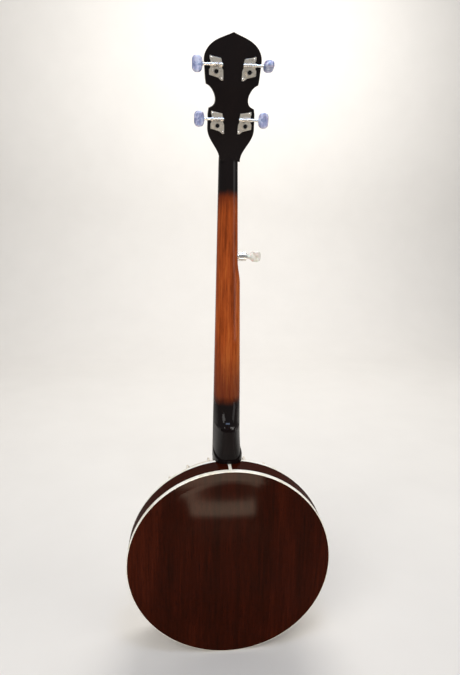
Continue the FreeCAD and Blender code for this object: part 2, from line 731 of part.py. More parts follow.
# ---------------------------------------------------------------- machine heads
# Tuner frame: x away from the neck's centre towards the button, y up the peghead,
# z out of the peghead's back, with the post's axis at x = y = 0.
def tuner_place(x, s):
    spot = FreeCAD.Placement(vec(-x, s, -PEGHEAD_THICK), FreeCAD.Rotation(Y_AXIS, 180.0))
    return PEGHEAD.multiply(spot)


def on_tuner(shape, side, x, s):
    """Place a tuner piece; the treble side is the mirror image of the bass side."""
    moved = shape.copy()
    moved.Placement = tuner_place(x, s).multiply(moved.Placement)
    return moved.mirror(ORIGIN, X_AXIS) if side > 0 else moved


def plate_screw_spots():
    return [(6.7, 16.7), (-8.3, -8.4)]


def plate_screw_holes():
    holes = []
    for x, y in plate_screw_spots():
        holes.append(rod(vec(x, y, -SCREW_LENGTH - 0.3), vec(x, y, PLATE_THICK + 2), SCREW_RADIUS + SEAT_GAP))
    return holes


def tuner_plate():
    """Stamped base with two screw ears and two upturned bearing tabs."""
    outline = [
        (9.0, 19.6), (4.6, 18.2), (-6.8, 16.2), (-7.9, 12.0), (-7.9, 5.2), (-9.8, 1.6), (-10.4, -10.8),
        (-7.4, -10.9), (-3.0, -7.6), (9.6, -4.4), (9.8, 2.0), (7.9, 5.2), (7.9, 12.6), (9.2, 15.6),
    ]
    base = prism([vec(x, y, 0) for x, y in outline], vec(0, 0, PLATE_THICK))
    upright = [edge for edge in base.Edges if edge.BoundBox.ZLength > PLATE_THICK / 2]
    base = base.makeFillet(0.7, upright)
    pieces = [base]
    for side in (-1, 1):
        inner = side * TAB_GAP_HALF
        outer = side * (TAB_GAP_HALF + TAB_THICK)
        low, high = min(inner, outer), max(inner, outer)
        near, far = WORM_OFFSET - TAB_HALF_WIDTH, WORM_OFFSET + TAB_HALF_WIDTH
        pieces.append(block(low, high, near, far, 0, WORM_HEIGHT))
        pieces.append(rod_x(low, high, WORM_OFFSET, WORM_HEIGHT, TAB_HALF_WIDTH))
    body = fuse_all(pieces)
    shaft_bore = rod_x(-20, 20, WORM_OFFSET, WORM_HEIGHT, WORM_SHAFT_RADIUS + SEAT_GAP)
    post_bore = rod(vec(0, 0, -1), vec(0, 0, PLATE_THICK + 1), POST_RADIUS + SEAT_GAP)
    return cut_all(body, [shaft_bore, post_bore] + plate_screw_holes())


def wood_screw():
    """Pan-head screw, point down, head's seat at z = 0."""
    dome = Part.makeSphere(SCREW_HEAD_RADIUS * 1.15, vec(0, 0, -0.9))
    dome = dome.common(block(-3, 3, -3, 3, 0, 3))
    slots = [block(-3, 3, -0.22, 0.22, 0.75, 3), block(-0.22, 0.22, -3, 3, 0.75, 3)]
    shank = rod(vec(0, 0, -SCREW_LENGTH + 2.2), vec(0, 0, 0), SCREW_RADIUS)
    point = Part.makeCone(0.15, SCREW_RADIUS, 2.2, vec(0, 0, -SCREW_LENGTH))
    return fuse_all([cut_all(dome, slots), shank, point])


def worm_thread():
    """Right-handed thread along x, a crest facing the gear at x = 0."""
    root = WORM_PITCH_RADIUS - TOOTH_DEDENDUM
    tip = WORM_PITCH_RADIUS + TOOTH_ADDENDUM
    flank = math.tan(math.radians(20.0))
    half = WORM_PITCH / 4.0 - TOOTH_SIDE_GAP
    turns = math.floor((WORM_THREAD_LENGTH - 2 * half) / WORM_PITCH / 2.0) * 2 + 1
    length = turns * WORM_PITCH
    helix = Part.makeHelix(WORM_PITCH, length, WORM_PITCH_RADIUS)
    sunk = root - 0.3
    profile = []
    for radius, side in ((sunk, -1), (tip, -1), (tip, 1), (sunk, 1)):
        profile.append(vec(radius, 0, side * (half - (radius - WORM_PITCH_RADIUS) * flank)))
    outline = Part.makePolygon(profile + [profile[0]])
    thread = Part.Wire(helix).makePipeShell([outline], True, True)
    thread.translate(vec(0, 0, -length / 2.0))
    return thread


def worm_shaft():
    """Worm, its journals in the tabs and the shaft out to the button."""
    tip = WORM_PITCH_RADIUS + TOOTH_ADDENDUM
    root = WORM_PITCH_RADIUS - TOOTH_DEDENDUM
    half_thread = WORM_THREAD_LENGTH / 2.0
    thread = worm_thread()
    keep = rod(vec(0, 0, -half_thread), vec(0, 0, half_thread), tip + 0.2)
    thread = thread.common(keep)
    shoulder = TAB_GAP_HALF - 0.15
    tab_outer = TAB_GAP_HALF + TAB_THICK + 0.15
    pieces = [thread, rod(vec(0, 0, -shoulder), vec(0, 0, shoulder), root)]
    pieces.append(rod(vec(0, 0, -shoulder), vec(0, 0, -half_thread - 0.3), 2.6))
    pieces.append(rod(vec(0, 0, half_thread + 0.3), vec(0, 0, shoulder), 2.6))
    pieces.append(rod(vec(0, 0, -tab_outer - 0.9), vec(0, 0, shoulder), WORM_SHAFT_RADIUS))
    pieces.append(rod(vec(0, 0, 0), vec(0, 0, BUTTON_START + 9.0), WORM_SHAFT_RADIUS))
    pieces.append(rod(vec(0, 0, -tab_outer - 0.9), vec(0, 0, -tab_outer), 2.3))
    pieces.append(rod(vec(0, 0, tab_outer), vec(0, 0, tab_outer + 1.6), 2.7))
    pieces.append(rod(vec(0, 0, tab_outer + 1.6), vec(0, 0, BUTTON_START), 2.0))
    shaft = fuse_all(pieces)
    # the thread was made along z with its start towards +x; lay it along x, facing the gear
    shaft.rotate(ORIGIN, Z_AXIS, WORM_PHASE)
    shaft.rotate(ORIGIN, Y_AXIS, 90.0)
    shaft.translate(vec(0, WORM_OFFSET, WORM_HEIGHT))
    return shaft


def gear_outline(z, turn, teeth, module, addendum, dedendum, gap):
    """Closed involute-like outline, a tooth gap facing the angle turn."""
    pitch = teeth * module / 2.0
    base = pitch * math.cos(math.radians(20.0))
    root = pitch - dedendum
    tip = pitch + addendum
    flat = math.tan(math.radians(20.0)) - math.radians(20.0)
    half_tooth = math.pi / teeth / 2.0 - gap / pitch
    points = []
    for tooth in range(teeth):
        middle = turn + 2.0 * math.pi * (tooth + 0.5) / teeth
        flank = []
        for step in range(4):
            radius = max(base, root) + (tip - max(base, root)) * step / 3.0
            pressure = math.acos(min(base / radius, 1.0))
            spread = half_tooth + flat - (math.tan(pressure) - pressure)
            flank.append((radius, spread))
        if root < base:
            flank.insert(0, (root, flank[0][1]))
        for radius, spread in flank:
            points.append(vec(radius * math.cos(middle - spread), radius * math.sin(middle - spread), z))
        for radius, spread in reversed(flank):
            points.append(vec(radius * math.cos(middle + spread), radius * math.sin(middle + spread), z))
    return Part.makePolygon(points + [points[0]])




def cog():
    """Gear whose teeth slope to match the worm's lead."""
    lead = math.atan(GEAR_MODULE / (2.0 * WORM_PITCH_RADIUS))
    slope = GEAR_WIDTH / 2.0 * math.tan(lead) / GEAR_PITCH_RADIUS
    up = math.pi / 2.0
    shape = (GEAR_TEETH, GEAR_MODULE, TOOTH_ADDENDUM, TOOTH_DEDENDUM, TOOTH_SIDE_GAP)
    lower = gear_outline(COG_BOTTOM, up - slope, *shape)
    upper = gear_outline(COG_TOP, up + slope, *shape)
    wheel = Part.makeLoft([lower, upper], True, True)
    hub = rod(vec(0, 0, PLATE_THICK + 0.1), vec(0, 0, COG_TOP), COG_HUB)
    body = wheel.fuse(hub)
    bore = rod(vec(0, 0, 0), vec(0, 0, COG_TOP + 1), COG_BORE + SEAT_GAP)
    dish = Part.makeCone(COG_SCREW_HEAD - 0.2, COG_SCREW_HEAD + 0.9, 0.9, vec(0, 0, COG_TOP - 0.5))
    return cut_all(body, [bore, dish]).removeSplitter()


def cog_screw():
    head_seat = COG_TOP - 0.5
    head = rod(vec(0, 0, head_seat), vec(0, 0, head_seat + 1.1), COG_SCREW_HEAD - 0.3)
    slot = block(-4, 4, -0.35, 0.35, head_seat + 0.6, head_seat + 2)
    shank = rod(vec(0, 0, head_seat - 3.6), vec(0, 0, head_seat), 1.0)
    return fuse_all([head.cut(slot), shank])


def post():
    """String post: runs from the cog through the peghead to a waisted capstan."""
    top = -(PEGHEAD_THICK + OVERLAY_THICK + POST_HEIGHT)
    pieces = [
        rod(vec(0, 0, -(PEGHEAD_THICK + OVERLAY_THICK + 5.0)), vec(0, 0, PLATE_THICK), POST_RADIUS),
        rod(vec(0, 0, 0), vec(0, 0, COG_TOP - 0.6), COG_BORE),
        rod(vec(0, 0, top + 1.0), vec(0, 0, -(PEGHEAD_THICK + OVERLAY_THICK)), 2.3),
        Part.makeCone(2.4, POST_RADIUS, 1.0, vec(0, 0, top)),
        rod(vec(0, 0, top + 1.0), vec(0, 0, top + 4.2), POST_RADIUS),
        Part.makeCone(POST_RADIUS, 2.3, 1.2, vec(0, 0, top + 4.2)),
        Part.makeCone(2.3, POST_RADIUS, 1.2, vec(0, 0, top + 7.8)),
    ]
    body = fuse_all(pieces)
    screw_bore = rod(vec(0, 0, COG_TOP - 4.4), vec(0, 0, COG_TOP + 1), 1.0 + SEAT_GAP)
    string_hole = rod(vec(-5, 0, top + 6.6), vec(5, 0, top + 6.6), 0.7)
    return cut_all(body, [screw_bore, string_hole])


def rounded_slab(x0, x1, half_width, half_thick, corner, edge):
    """Pillow-edged oval in the x-y plane, thick along z."""
    slab = block(x0, x1, -half_width, half_width, -half_thick, half_thick)
    upright = [side for side in slab.Edges if side.BoundBox.ZLength > half_thick]
    slab = slab.makeFillet(corner, upright)
    rims = [side for side in slab.Edges if side.BoundBox.ZLength < 0.01]
    return slab.makeFillet(edge, rims)


def tuner_button(turn):
    end = BUTTON_START + BUTTON_LENGTH
    body = rounded_slab(
        BUTTON_START + 0.6, end, BUTTON_WIDTH / 2, BUTTON_THICK / 2, BUTTON_CORNER, BUTTON_EDGE
    )
    stem = Part.makeCone(2.7, 4.0, 3.6, vec(BUTTON_START, 0, 0), X_AXIS)
    bore = rod_x(BUTTON_START - 1, BUTTON_START + BUTTON_BORE_DEPTH + 0.2, 0, 0, WORM_SHAFT_RADIUS + SEAT_GAP)
    body = body.fuse(stem).cut(bore).removeSplitter()
    body.rotate(ORIGIN, X_AXIS, turn)
    body.translate(vec(0, WORM_OFFSET, WORM_HEIGHT))
    return body


def post_bushing():
    """Flanged sleeve pressed in from the face, with the post running in it."""
    face = -(PEGHEAD_THICK + OVERLAY_THICK)
    sleeve = rod(vec(0, 0, face), vec(0, 0, face + BUSHING_DEPTH), PEG_HOLE_RADIUS)
    flange = rod(vec(0, 0, face - BUSHING_FLANGE_THICK), vec(0, 0, face), BUSHING_FLANGE_RADIUS)
    rim = [edge for edge in flange.Edges if edge.BoundBox.ZMax < face - BUSHING_FLANGE_THICK + 0.01]
    flange = flange.makeChamfer(0.5, rim)
    bore = rod(vec(0, 0, face - 3), vec(0, 0, face + BUSHING_DEPTH + 1), POST_RADIUS + SEAT_GAP)
    return sleeve.fuse(flange).cut(bore).removeSplitter()


# ---------------------------------------------------------------- fifth-string peg
# Peg frame: x along the peg away from the neck, z out of the banjo's back.
FIFTH_PEG = FreeCAD.Placement(
    vec(0, FIFTH_PEG_Y, below_nut(FIFTH_PEG_FROM_NUT)), FreeCAD.Rotation(Z_AXIS, 180.0)
)


def on_fifth(shape):
    moved = shape.copy()
    moved.Placement = FIFTH_PEG.multiply(moved.Placement)
    return moved


def along_x(shape):
    """Turn a shape made along z so that it runs along x."""
    turned = shape.copy()
    turned.rotate(ORIGIN, Y_AXIS, 90.0)
    return turned


def fifth_hole():
    """Hole in the neck's side for the peg's shank."""
    start = FIFTH_BARREL_START - FIFTH_SHANK_DEPTH - 0.5
    return on_fifth(rod(vec(start, 0, 0), vec(FIFTH_BARREL_START + 5, 0, 0), FIFTH_SHANK_RADIUS + SEAT_GAP))


def fifth_seat():
    """Flat spot-faced into the neck's side under the barrel."""
    return on_fifth(rod_x(FIFTH_BARREL_START - 0.02, 40, 0, 0, FIFTH_BARREL_RADIUS + MOVING_GAP))


def fifth_barrel():
    """Housing with its shank in the neck, a window over the spool and a ring gear inside."""
    inner = FIFTH_BARREL_RADIUS - FIFTH_BARREL_WALL
    start, end = FIFTH_BARREL_START, FIFTH_BARREL_END - FIFTH_CAP_THICK
    shell = rod(vec(start, 0, 0), vec(end, 0, 0), FIFTH_BARREL_RADIUS)
    bore = rod(vec(start + 1.0, 0, 0), vec(end + 1, 0, 0), inner)
    shell = shell.cut(bore)
    ring = rod(vec(FIFTH_GEARS_START - 0.1, 0, 0), vec(FIFTH_GEARS_END + 0.1, 0, 0), inner + 0.2)
    room = gear_outline(
        -1.0, 0.0, RING_TEETH, FIFTH_GEAR_MODULE, FIFTH_DEDENDUM, FIFTH_ADDENDUM, -FIFTH_SIDE_GAP
    )
    room = along_x(Part.Face(room).extrude(vec(0, 0, 60)))
    ring = ring.cut(room)
    shank = rod(vec(start - FIFTH_SHANK_DEPTH, 0, 0), vec(start, 0, 0), FIFTH_SHANK_RADIUS)
    journal = rod(vec(start - 2.5, 0, 0), vec(start + 2, 0, 0), FIFTH_INPUT_RADIUS + SEAT_GAP)
    window = block(
        start + 1.0 + MOVING_GAP, start + 1.0 + MOVING_GAP + FIFTH_SPOOL_LENGTH - 0.4, -2.0, 12.0, -12.0, 1.0
    )
    entry = block(start - 0.1, start + 2.0, 2.6, 12.0, -12.0, 0.0)
    body = fuse_all([shell, ring, shank])
    return cut_all(body, [journal, window, entry]).removeSplitter()


def fifth_cap():
    start = FIFTH_BARREL_END - FIFTH_CAP_THICK
    disc = rod(vec(start, 0, 0), vec(FIFTH_BARREL_END, 0, 0), FIFTH_BARREL_RADIUS)
    rim = [edge for edge in disc.Edges if edge.BoundBox.XMin > FIFTH_BARREL_END - 0.01]
    disc = disc.makeChamfer(0.6, rim)
    bore = rod(vec(start - 1, 0, 0), vec(FIFTH_BARREL_END + 1, 0, 0), FIFTH_INPUT_RADIUS + SEAT_GAP)
    return disc.cut(bore)


def fifth_spool():
    """Spool, carrier plate and planet pins, turning in the barrel's closed end."""
    start = FIFTH_BARREL_START
    inner = FIFTH_BARREL_RADIUS - FIFTH_BARREL_WALL
    spool_start = start + 1.0 + MOVING_GAP
    pieces = [
        rod(vec(start - 2.2, 0, 0), vec(spool_start, 0, 0), FIFTH_INPUT_RADIUS),
        rod(vec(spool_start, 0, 0), vec(FIFTH_CARRIER_START, 0, 0), FIFTH_SPOOL_RADIUS),
        rod(
            vec(FIFTH_CARRIER_START, 0, 0),
            vec(FIFTH_CARRIER_START + FIFTH_CARRIER_THICK, 0, 0),
            inner - MOVING_GAP / 2,
        ),
    ]
    for index in range(PLANET_COUNT):
        y, z = planet_centre(index)
        begin = vec(FIFTH_CARRIER_START, y, z)
        pieces.append(rod(begin, vec(FIFTH_GEARS_END - 0.2, y, z), FIFTH_PIN_RADIUS))
    hole = rod(vec(spool_start + 1.6, -10, 0), vec(spool_start + 1.6, 10, 0), 0.5)
    return fuse_all(pieces).cut(hole)


def planet_centre(index):
    turn = 2.0 * math.pi * index / PLANET_COUNT
    return FIFTH_PLANET_CIRCLE * math.cos(turn), FIFTH_PLANET_CIRCLE * math.sin(turn)


def fifth_planet(index):
    """Planet gear; each meets the sun and the ring with its teeth in their gaps."""
    y, z = planet_centre(index)
    outline = gear_outline(
        0.0, 0.0, PLANET_TEETH, FIFTH_GEAR_MODULE, FIFTH_ADDENDUM, FIFTH_DEDENDUM, FIFTH_SIDE_GAP
    )
    wheel = Part.Face(outline).extrude(vec(0, 0, FIFTH_GEAR_WIDTH - MOVING_GAP))
    wheel = wheel.cut(rod(vec(0, 0, -1), vec(0, 0, 10), FIFTH_PIN_RADIUS + SEAT_GAP))
    wheel = along_x(wheel)
    wheel.translate(vec(FIFTH_GEARS_START + MOVING_GAP / 2, y, z))
    return wheel


def fifth_input():
    """Sun gear on the shaft that the button turns."""
    tooth_first = math.pi / SUN_TEETH
    outline = gear_outline(
        0.0, tooth_first, SUN_TEETH, FIFTH_GEAR_MODULE, FIFTH_ADDENDUM, FIFTH_DEDENDUM, FIFTH_SIDE_GAP
    )
    sun = along_x(Part.Face(outline).extrude(vec(0, 0, FIFTH_GEAR_WIDTH - MOVING_GAP)))
    sun.translate(vec(FIFTH_GEARS_START + MOVING_GAP / 2, 0, 0))
    shaft_end = FIFTH_BUTTON_START + BUTTON_BORE_DEPTH
    shaft = rod_x(FIFTH_GEARS_START + MOVING_GAP / 2, shaft_end, 0, 0, FIFTH_INPUT_RADIUS)
    collar = rod(vec(FIFTH_GEARS_END + 0.2, 0, 0), vec(FIFTH_BARREL_END - FIFTH_CAP_THICK - 0.2, 0, 0), 2.2)
    outer = rod(vec(FIFTH_BARREL_END + 0.2, 0, 0), vec(FIFTH_BUTTON_START, 0, 0), 2.6)
    return fuse_all([sun, shaft, collar, outer])


def fifth_button():
    end = FIFTH_BUTTON_START + FIFTH_BUTTON_LENGTH
    half_width, half_thick = FIFTH_BUTTON_WIDTH / 2, FIFTH_BUTTON_THICK / 2
    body = rounded_slab(FIFTH_BUTTON_START + 5.0, end, half_width, half_thick, 6.2, 3.3)
    neck = Part.makeCone(3.0, 5.2, 7.0, vec(FIFTH_BUTTON_START, 0, 0), X_AXIS)
    neck = neck.common(block(0, 80, -9, 9, -4.2, 4.2))
    bore_end = FIFTH_BUTTON_START + BUTTON_BORE_DEPTH + 0.2
    bore = rod_x(FIFTH_BUTTON_START - 1, bore_end, 0, 0, FIFTH_INPUT_RADIUS + SEAT_GAP)
    body = body.fuse(neck).cut(bore).removeSplitter()
    body.rotate(ORIGIN, X_AXIS, 90.0)
    return body


# ---------------------------------------------------------------- pot
def rim():
    """Laminated wooden shell with a lip behind the flange."""
    shell = pot_ring([
        (RIM_INNER, TONE_RING_BACK), (RIM_RADIUS, TONE_RING_BACK), (RIM_RADIUS, FLANGE_BACK),
        (RIM_RADIUS + RIM_LIP, FLANGE_BACK), (RIM_RADIUS + RIM_LIP, RIM_BACK - 1.5),
        (RIM_RADIUS + RIM_LIP - 1.5, RIM_BACK), (RIM_INNER + 1.5, RIM_BACK), (RIM_INNER, RIM_BACK - 1.5),
    ])
    holes = []
    for y in ROD_DEPTHS:
        holes.append(rod(vec(0, y, POT_Z - 200), vec(0, y, POT_Z + 200), LAG_RADIUS + SEAT_GAP))
    return cut_all(shell, holes)


def tone_ring():
    """Flathead ring seated on the rim, with a rounded bearing edge and drilled inner wall."""
    back = TONE_RING_BACK
    front = HEAD_Y + HEAD_THICK
    profile = [
        (RIM_INNER, back), (RIM_RADIUS, back), (RIM_RADIUS, front + 1.6), (RIM_RADIUS - 0.9, front + 0.3),
        (RIM_RADIUS - 2.0, front), (RIM_RADIUS - 3.2, front + 0.4), (RIM_RADIUS - 5.0, front + 3.6),
        (RIM_INNER, front + 4.6),
    ]
    ring = pot_ring(profile)
    hole_count = 20
    holes = []
    for index in range(hole_count):
        turn = 360.0 * (index + 0.5) / hole_count
        y = (front + 4.6 + back) / 2.0
        holes.append(rod(pot_point(RIM_INNER - 2, turn, y), pot_point(RIM_INNER + 5, turn, y), 1.6))
    return cut_all(ring, holes)




def head_film():
    """Flat coated film over the tone ring."""
    return rod_y(0, HEAD_Y, HEAD_Y + HEAD_THICK, POT_Z, RIM_RADIUS - FILM_BEND)


def head_collar():
    """The film's turned-down skirt, crimped into its flesh hoop."""
    skirt_end = FLESH_FRONT + FLESH_HOOP_DEPTH
    skirt = pot_ring([
        (RIM_RADIUS - FILM_BEND, HEAD_Y), (RIM_RADIUS - FILM_BEND + 0.1, HEAD_Y), (FLESH_INNER, HEAD_Y + 1.8),
        (FLESH_INNER, skirt_end), (HEAD_SKIRT, skirt_end), (HEAD_SKIRT, HEAD_Y + 2.0),
        (RIM_RADIUS - FILM_BEND, HEAD_Y + HEAD_THICK),
    ])
    return skirt.fuse(pot_tube(FLESH_OUTER, FLESH_INNER, FLESH_FRONT, skirt_end)).removeSplitter()


def tension_hoop():
    """Grooved hoop that presses the flesh hoop down, notched under the fingerboard."""
    inner = FLESH_INNER + 0.4
    groove_inner = HOOK_CIRCLE - HOOK_BEND - 3.6
    ring = pot_ring([
        (inner, HOOP_FRONT), (groove_inner, HOOP_FRONT), (groove_inner, HOOP_FRONT + 1.4),
        (groove_inner + 2.0, HOOP_FRONT + 1.4), (groove_inner + 2.0, HOOP_FRONT), (HOOP_RADIUS, HOOP_FRONT),
        (HOOP_RADIUS, HOOP_BACK), (FLESH_OUTER + 0.3, HOOP_BACK), (FLESH_OUTER + 0.3, FLESH_FRONT - 0.05),
        (inner, FLESH_FRONT - 0.05),
    ])
    return ring


def hook_angles():
    step = (360.0 - 2.0 * HOOK_GAP) / (HOOK_COUNT - 1)
    return [HOOK_GAP + step * index for index in range(HOOK_COUNT)]


def slot_angles():
    """Middles of the gaps between neighbouring hooks."""
    angles = hook_angles()
    return [(first + second) / 2.0 for first, second in zip(angles, angles[1:])]


def thumb_angles():
    """The gaps nearest the four corners carry the resonator's screws."""
    corners = (45.0, 135.0, 225.0, 315.0)
    return [min(slot_angles(), key=lambda angle: abs(angle - corner)) for corner in corners]


def hook():
    """Bracket hook at the neck side: shank, bend over the hoop and claw."""
    top = HOOP_FRONT - 0.1 - HOOK_RADIUS
    start = pot_point(HOOK_CIRCLE, 0, HOOK_END_Y)
    bend_at = pot_point(HOOK_CIRCLE, 0, top + HOOK_BEND)
    shank = rod(start, bend_at, HOOK_RADIUS)
    centre = pot_point(HOOK_CIRCLE - HOOK_BEND, 0, top + HOOK_BEND)
    bend = Part.makeTorus(HOOK_BEND, HOOK_RADIUS, centre, X_AXIS)
    quarter = block(-9, 9, top - 9, top + HOOK_BEND, centre.z, centre.z + 9)
    bend = bend.common(quarter)
    claw_start = pot_point(HOOK_CIRCLE - HOOK_BEND, 0, top)
    claw_end = pot_point(HOOK_CIRCLE - HOOK_BEND - 3.2, 0, top)
    claw = rod(claw_start, claw_end, HOOK_RADIUS)
    nose = Part.makeSphere(HOOK_RADIUS, claw_end)
    tip_reach = HOOK_CIRCLE - HOOK_BEND - 2.6
    tip = rod(pot_point(tip_reach, 0, top), pot_point(tip_reach, 0, HOOP_FRONT + 1.2), 0.8)
    return fuse_all([shank, bend, claw, nose, tip])


def hook_nut():
    """Closed hexagon nut with a washer face, drawn up behind the flange."""
    centre = pot_point(HOOK_CIRCLE, 0, FLANGE_BACK)
    body = prism(hex_outline(NUT_AF_RADIUS, FLANGE_BACK + 0.8, centre.z, Y_AXIS), vec(0, NUT_LENGTH - 0.8, 0))
    round_off = Part.makeCone(NUT_AF_RADIUS + 4.0, NUT_AF_RADIUS - 1.0, NUT_LENGTH, centre, Y_AXIS)
    body = body.common(round_off)
    washer = rod(centre, centre + vec(0, 0.8, 0), NUT_AF_RADIUS)
    bore_end = pot_point(HOOK_CIRCLE, 0, HOOK_END_Y + SEAT_GAP)
    bore = rod(centre + vec(0, -1, 0), bore_end, HOOK_RADIUS + SEAT_GAP)
    return body.fuse(washer).cut(bore).removeSplitter()


def heel_gap_half():
    return max(treble_edge(FINGERBOARD_LENGTH), HEEL_END_WIDTH / 2.0 + HEEL_LIP_PROUD) + PASS_GAP


def heel_gap(front, back):
    """Room for the heel at the neck side of a ring."""
    half = heel_gap_half()
    return block(-half, half, front, back, POT_Z + RIM_RADIUS - 15, POT_Z + RESONATOR_RADIUS + 10)


def flange():
    """Cast plate round the rim: hook holes, sound slots, screw holes and a turned edge."""
    plate = pot_tube(FLANGE_RADIUS, RIM_RADIUS + 0.2, FLANGE_FRONT, FLANGE_BACK)
    edge = pot_tube(FLANGE_RADIUS, FLANGE_RADIUS - 2.0, FLANGE_FRONT - 1.0, FLANGE_FRONT)
    plate = plate.fuse(edge)
    tools = [heel_gap(FLANGE_FRONT - 5, FLANGE_BACK + 5)]
    for angle in hook_angles() + [180.0]:
        start = pot_point(HOOK_CIRCLE, angle, FLANGE_FRONT - 5)
        tools.append(rod(start, start + vec(0, FLANGE_THICK + 10, 0), HOOK_RADIUS + 0.2))
    thumbs = thumb_angles()
    half_width = SOUND_SLOT_WIDTH / 2.0
    reach = SOUND_SLOT_LENGTH / 2.0 - half_width
    for angle in slot_angles():
        if angle in thumbs:
            start = pot_point(THUMB_CIRCLE, angle, FLANGE_FRONT - 5)
            tools.append(rod(start, start + vec(0, 20, 0), THUMB_SHANK_RADIUS + 0.3))
        elif abs(angle - 180.0) > 1.0:
            centre = pot_point(SOUND_SLOT_CIRCLE, 0, 0)
            low, high = centre.z - reach, centre.z + reach
            slot = block(-half_width, half_width, FLANGE_FRONT - 5, FLANGE_BACK + 5, low, high)
            for shift in (-reach, reach):
                end = vec(0, FLANGE_FRONT - 5, centre.z + shift)
                slot = slot.fuse(rod(end, end + vec(0, FLANGE_THICK + 10, 0), half_width))
            tools.append(to_clock(slot, angle))
    return cut_all(plate, tools)


def coordinator_rods():
    """Two bars across the pot, bored at both ends."""
    bars = []
    for y in ROD_DEPTHS:
        low, high = POT_Z - RIM_INNER + 1.5, POT_Z + RIM_INNER - 7.0
        bar = rod(vec(0, y, low), vec(0, y, high), ROD_RADIUS)
        flat = prism(hex_outline(ROD_HEX_RADIUS, y, high - 14.0, Z_AXIS), vec(0, 0, 14.0))
        bar = bar.fuse(flat)
        bores = [
            rod(vec(0, y, high - 12), vec(0, y, high + 1), LAG_RADIUS + SEAT_GAP),
            rod(vec(0, y, low - 1), vec(0, y, low + 16), LAG_RADIUS + SEAT_GAP),
        ]
        bars.append(cut_all(bar, bores).removeSplitter())
    return bars


def neck_lag_bolts():
    """Threaded studs from the heel through the rim, each with its nut and washer."""
    bolts = []
    for y in ROD_DEPTHS:
        inner = POT_Z + RIM_INNER
        bolts.append(rod(vec(0, y, inner - 16.0), vec(0, y, POT_Z + RIM_RADIUS + LAG_IN_HEEL), LAG_RADIUS))
        ring = tube(vec(0, y, inner - 2.4), vec(0, y, inner - 0.4), 6.0, LAG_RADIUS + SEAT_GAP)
        hexagon = prism(hex_outline(ROD_HEX_RADIUS, y, inner - 6.4, Z_AXIS), vec(0, 0, 3.9))
        hexagon = hexagon.cut(rod(vec(0, y, inner - 20), vec(0, y, inner), LAG_RADIUS + SEAT_GAP))
        bolts += [ring, hexagon]
    return bolts


def lag_holes():
    holes = []
    for y in ROD_DEPTHS:
        top = POT_Z + RIM_RADIUS + LAG_IN_HEEL + 0.5
        holes.append(rod(vec(0, y, POT_Z + RIM_INNER - 5), vec(0, y, top), LAG_RADIUS + SEAT_GAP))
    return holes


def rod_end_bolts():
    """Hexagon bolts and washers that hold the rods to the tail side of the rim."""
    bolts = []
    for y in ROD_DEPTHS:
        seat = POT_Z - RIM_RADIUS - (RIM_LIP if y > FLANGE_BACK else 0.0)
        shank = rod(vec(0, y, seat), vec(0, y, POT_Z - RIM_INNER + 14), LAG_RADIUS)
        head_shape = prism(hex_outline(ROD_HEX_RADIUS - 0.6, y, seat - 4.4, Z_AXIS), vec(0, 0, 3.4))
        washer = rod(vec(0, y, seat - 1.0), vec(0, y, seat - 0.2), 5.6)
        bolts.append(fuse_all([shank, head_shape, washer]))
    return bolts


# ---------------------------------------------------------------- resonator
def resonator_side():
    """Bent side with rebates for its bindings, opened for the heel."""
    inner, outer = RESONATOR_INNER, RESONATOR_RADIUS
    bound = outer - BINDING_THICK
    back = RESONATOR_BACK - RESONATOR_PANEL
    side = pot_ring([
        (inner, RESONATOR_FRONT), (bound, RESONATOR_FRONT), (bound, RESONATOR_FRONT + BINDING_FRONT_WIDTH),
        (outer, RESONATOR_FRONT + BINDING_FRONT_WIDTH), (outer, RESONATOR_BACK - BINDING_BACK_WIDTH),
        (bound, RESONATOR_BACK - BINDING_BACK_WIDTH), (bound, back), (inner, back),
    ])
    return cut_all(side, [resonator_notch(), joint_strip_block(0.0)])


def resonator_notch():
    """Round-bottomed opening that the heel passes through."""
    half = heel_gap_half()
    depth = HEEL_END_DEPTH + HEEL_LIP_PROUD + PASS_GAP
    low, high = POT_Z + RESONATOR_INNER - 8, POT_Z + RESONATOR_RADIUS + 8
    points = [vec(-half, 0, low)]
    steps = 16
    for index in range(steps + 1):
        turn = math.pi * index / steps
        across = math.copysign(abs(math.cos(turn)) ** 0.62, math.cos(turn)) if index != steps // 2 else 0.0
        drop = abs(math.sin(turn)) ** 0.62 if 0 < index < steps else 0.0
        points.append(vec(-half * across, depth * drop, low))
    return prism(points[1:], vec(0, 0, high - low))


def joint_strip_block(gap):
    """Light strip across the side's joint at the neck side."""
    half = JOINT_STRIP_WIDTH / 2.0 - gap
    front = RESONATOR_FRONT + BINDING_FRONT_WIDTH
    back = RESONATOR_BACK - BINDING_BACK_WIDTH
    bar = block(-half, half, front, back, POT_Z + RESONATOR_INNER, POT_Z + RESONATOR_RADIUS + 3)
    return bar.common(pot_tube(RESONATOR_RADIUS, RESONATOR_RADIUS - BINDING_THICK, front, back))


def resonator_bindings():
    """Front and back bindings and the joint strip."""
    bound = RESONATOR_RADIUS - BINDING_THICK
    front = pot_tube(RESONATOR_RADIUS, bound, RESONATOR_FRONT, RESONATOR_FRONT + BINDING_FRONT_WIDTH)
    back = pot_ring([
        (bound, RESONATOR_BACK - BINDING_BACK_WIDTH), (RESONATOR_RADIUS, RESONATOR_BACK - BINDING_BACK_WIDTH),
        (RESONATOR_RADIUS, RESONATOR_BACK - BINDING_EASE), (RESONATOR_RADIUS - BINDING_EASE, RESONATOR_BACK),
        (bound, RESONATOR_BACK),
    ])
    notch = resonator_notch()
    return [front.cut(notch), back, joint_strip_block(0.0).cut(notch)]


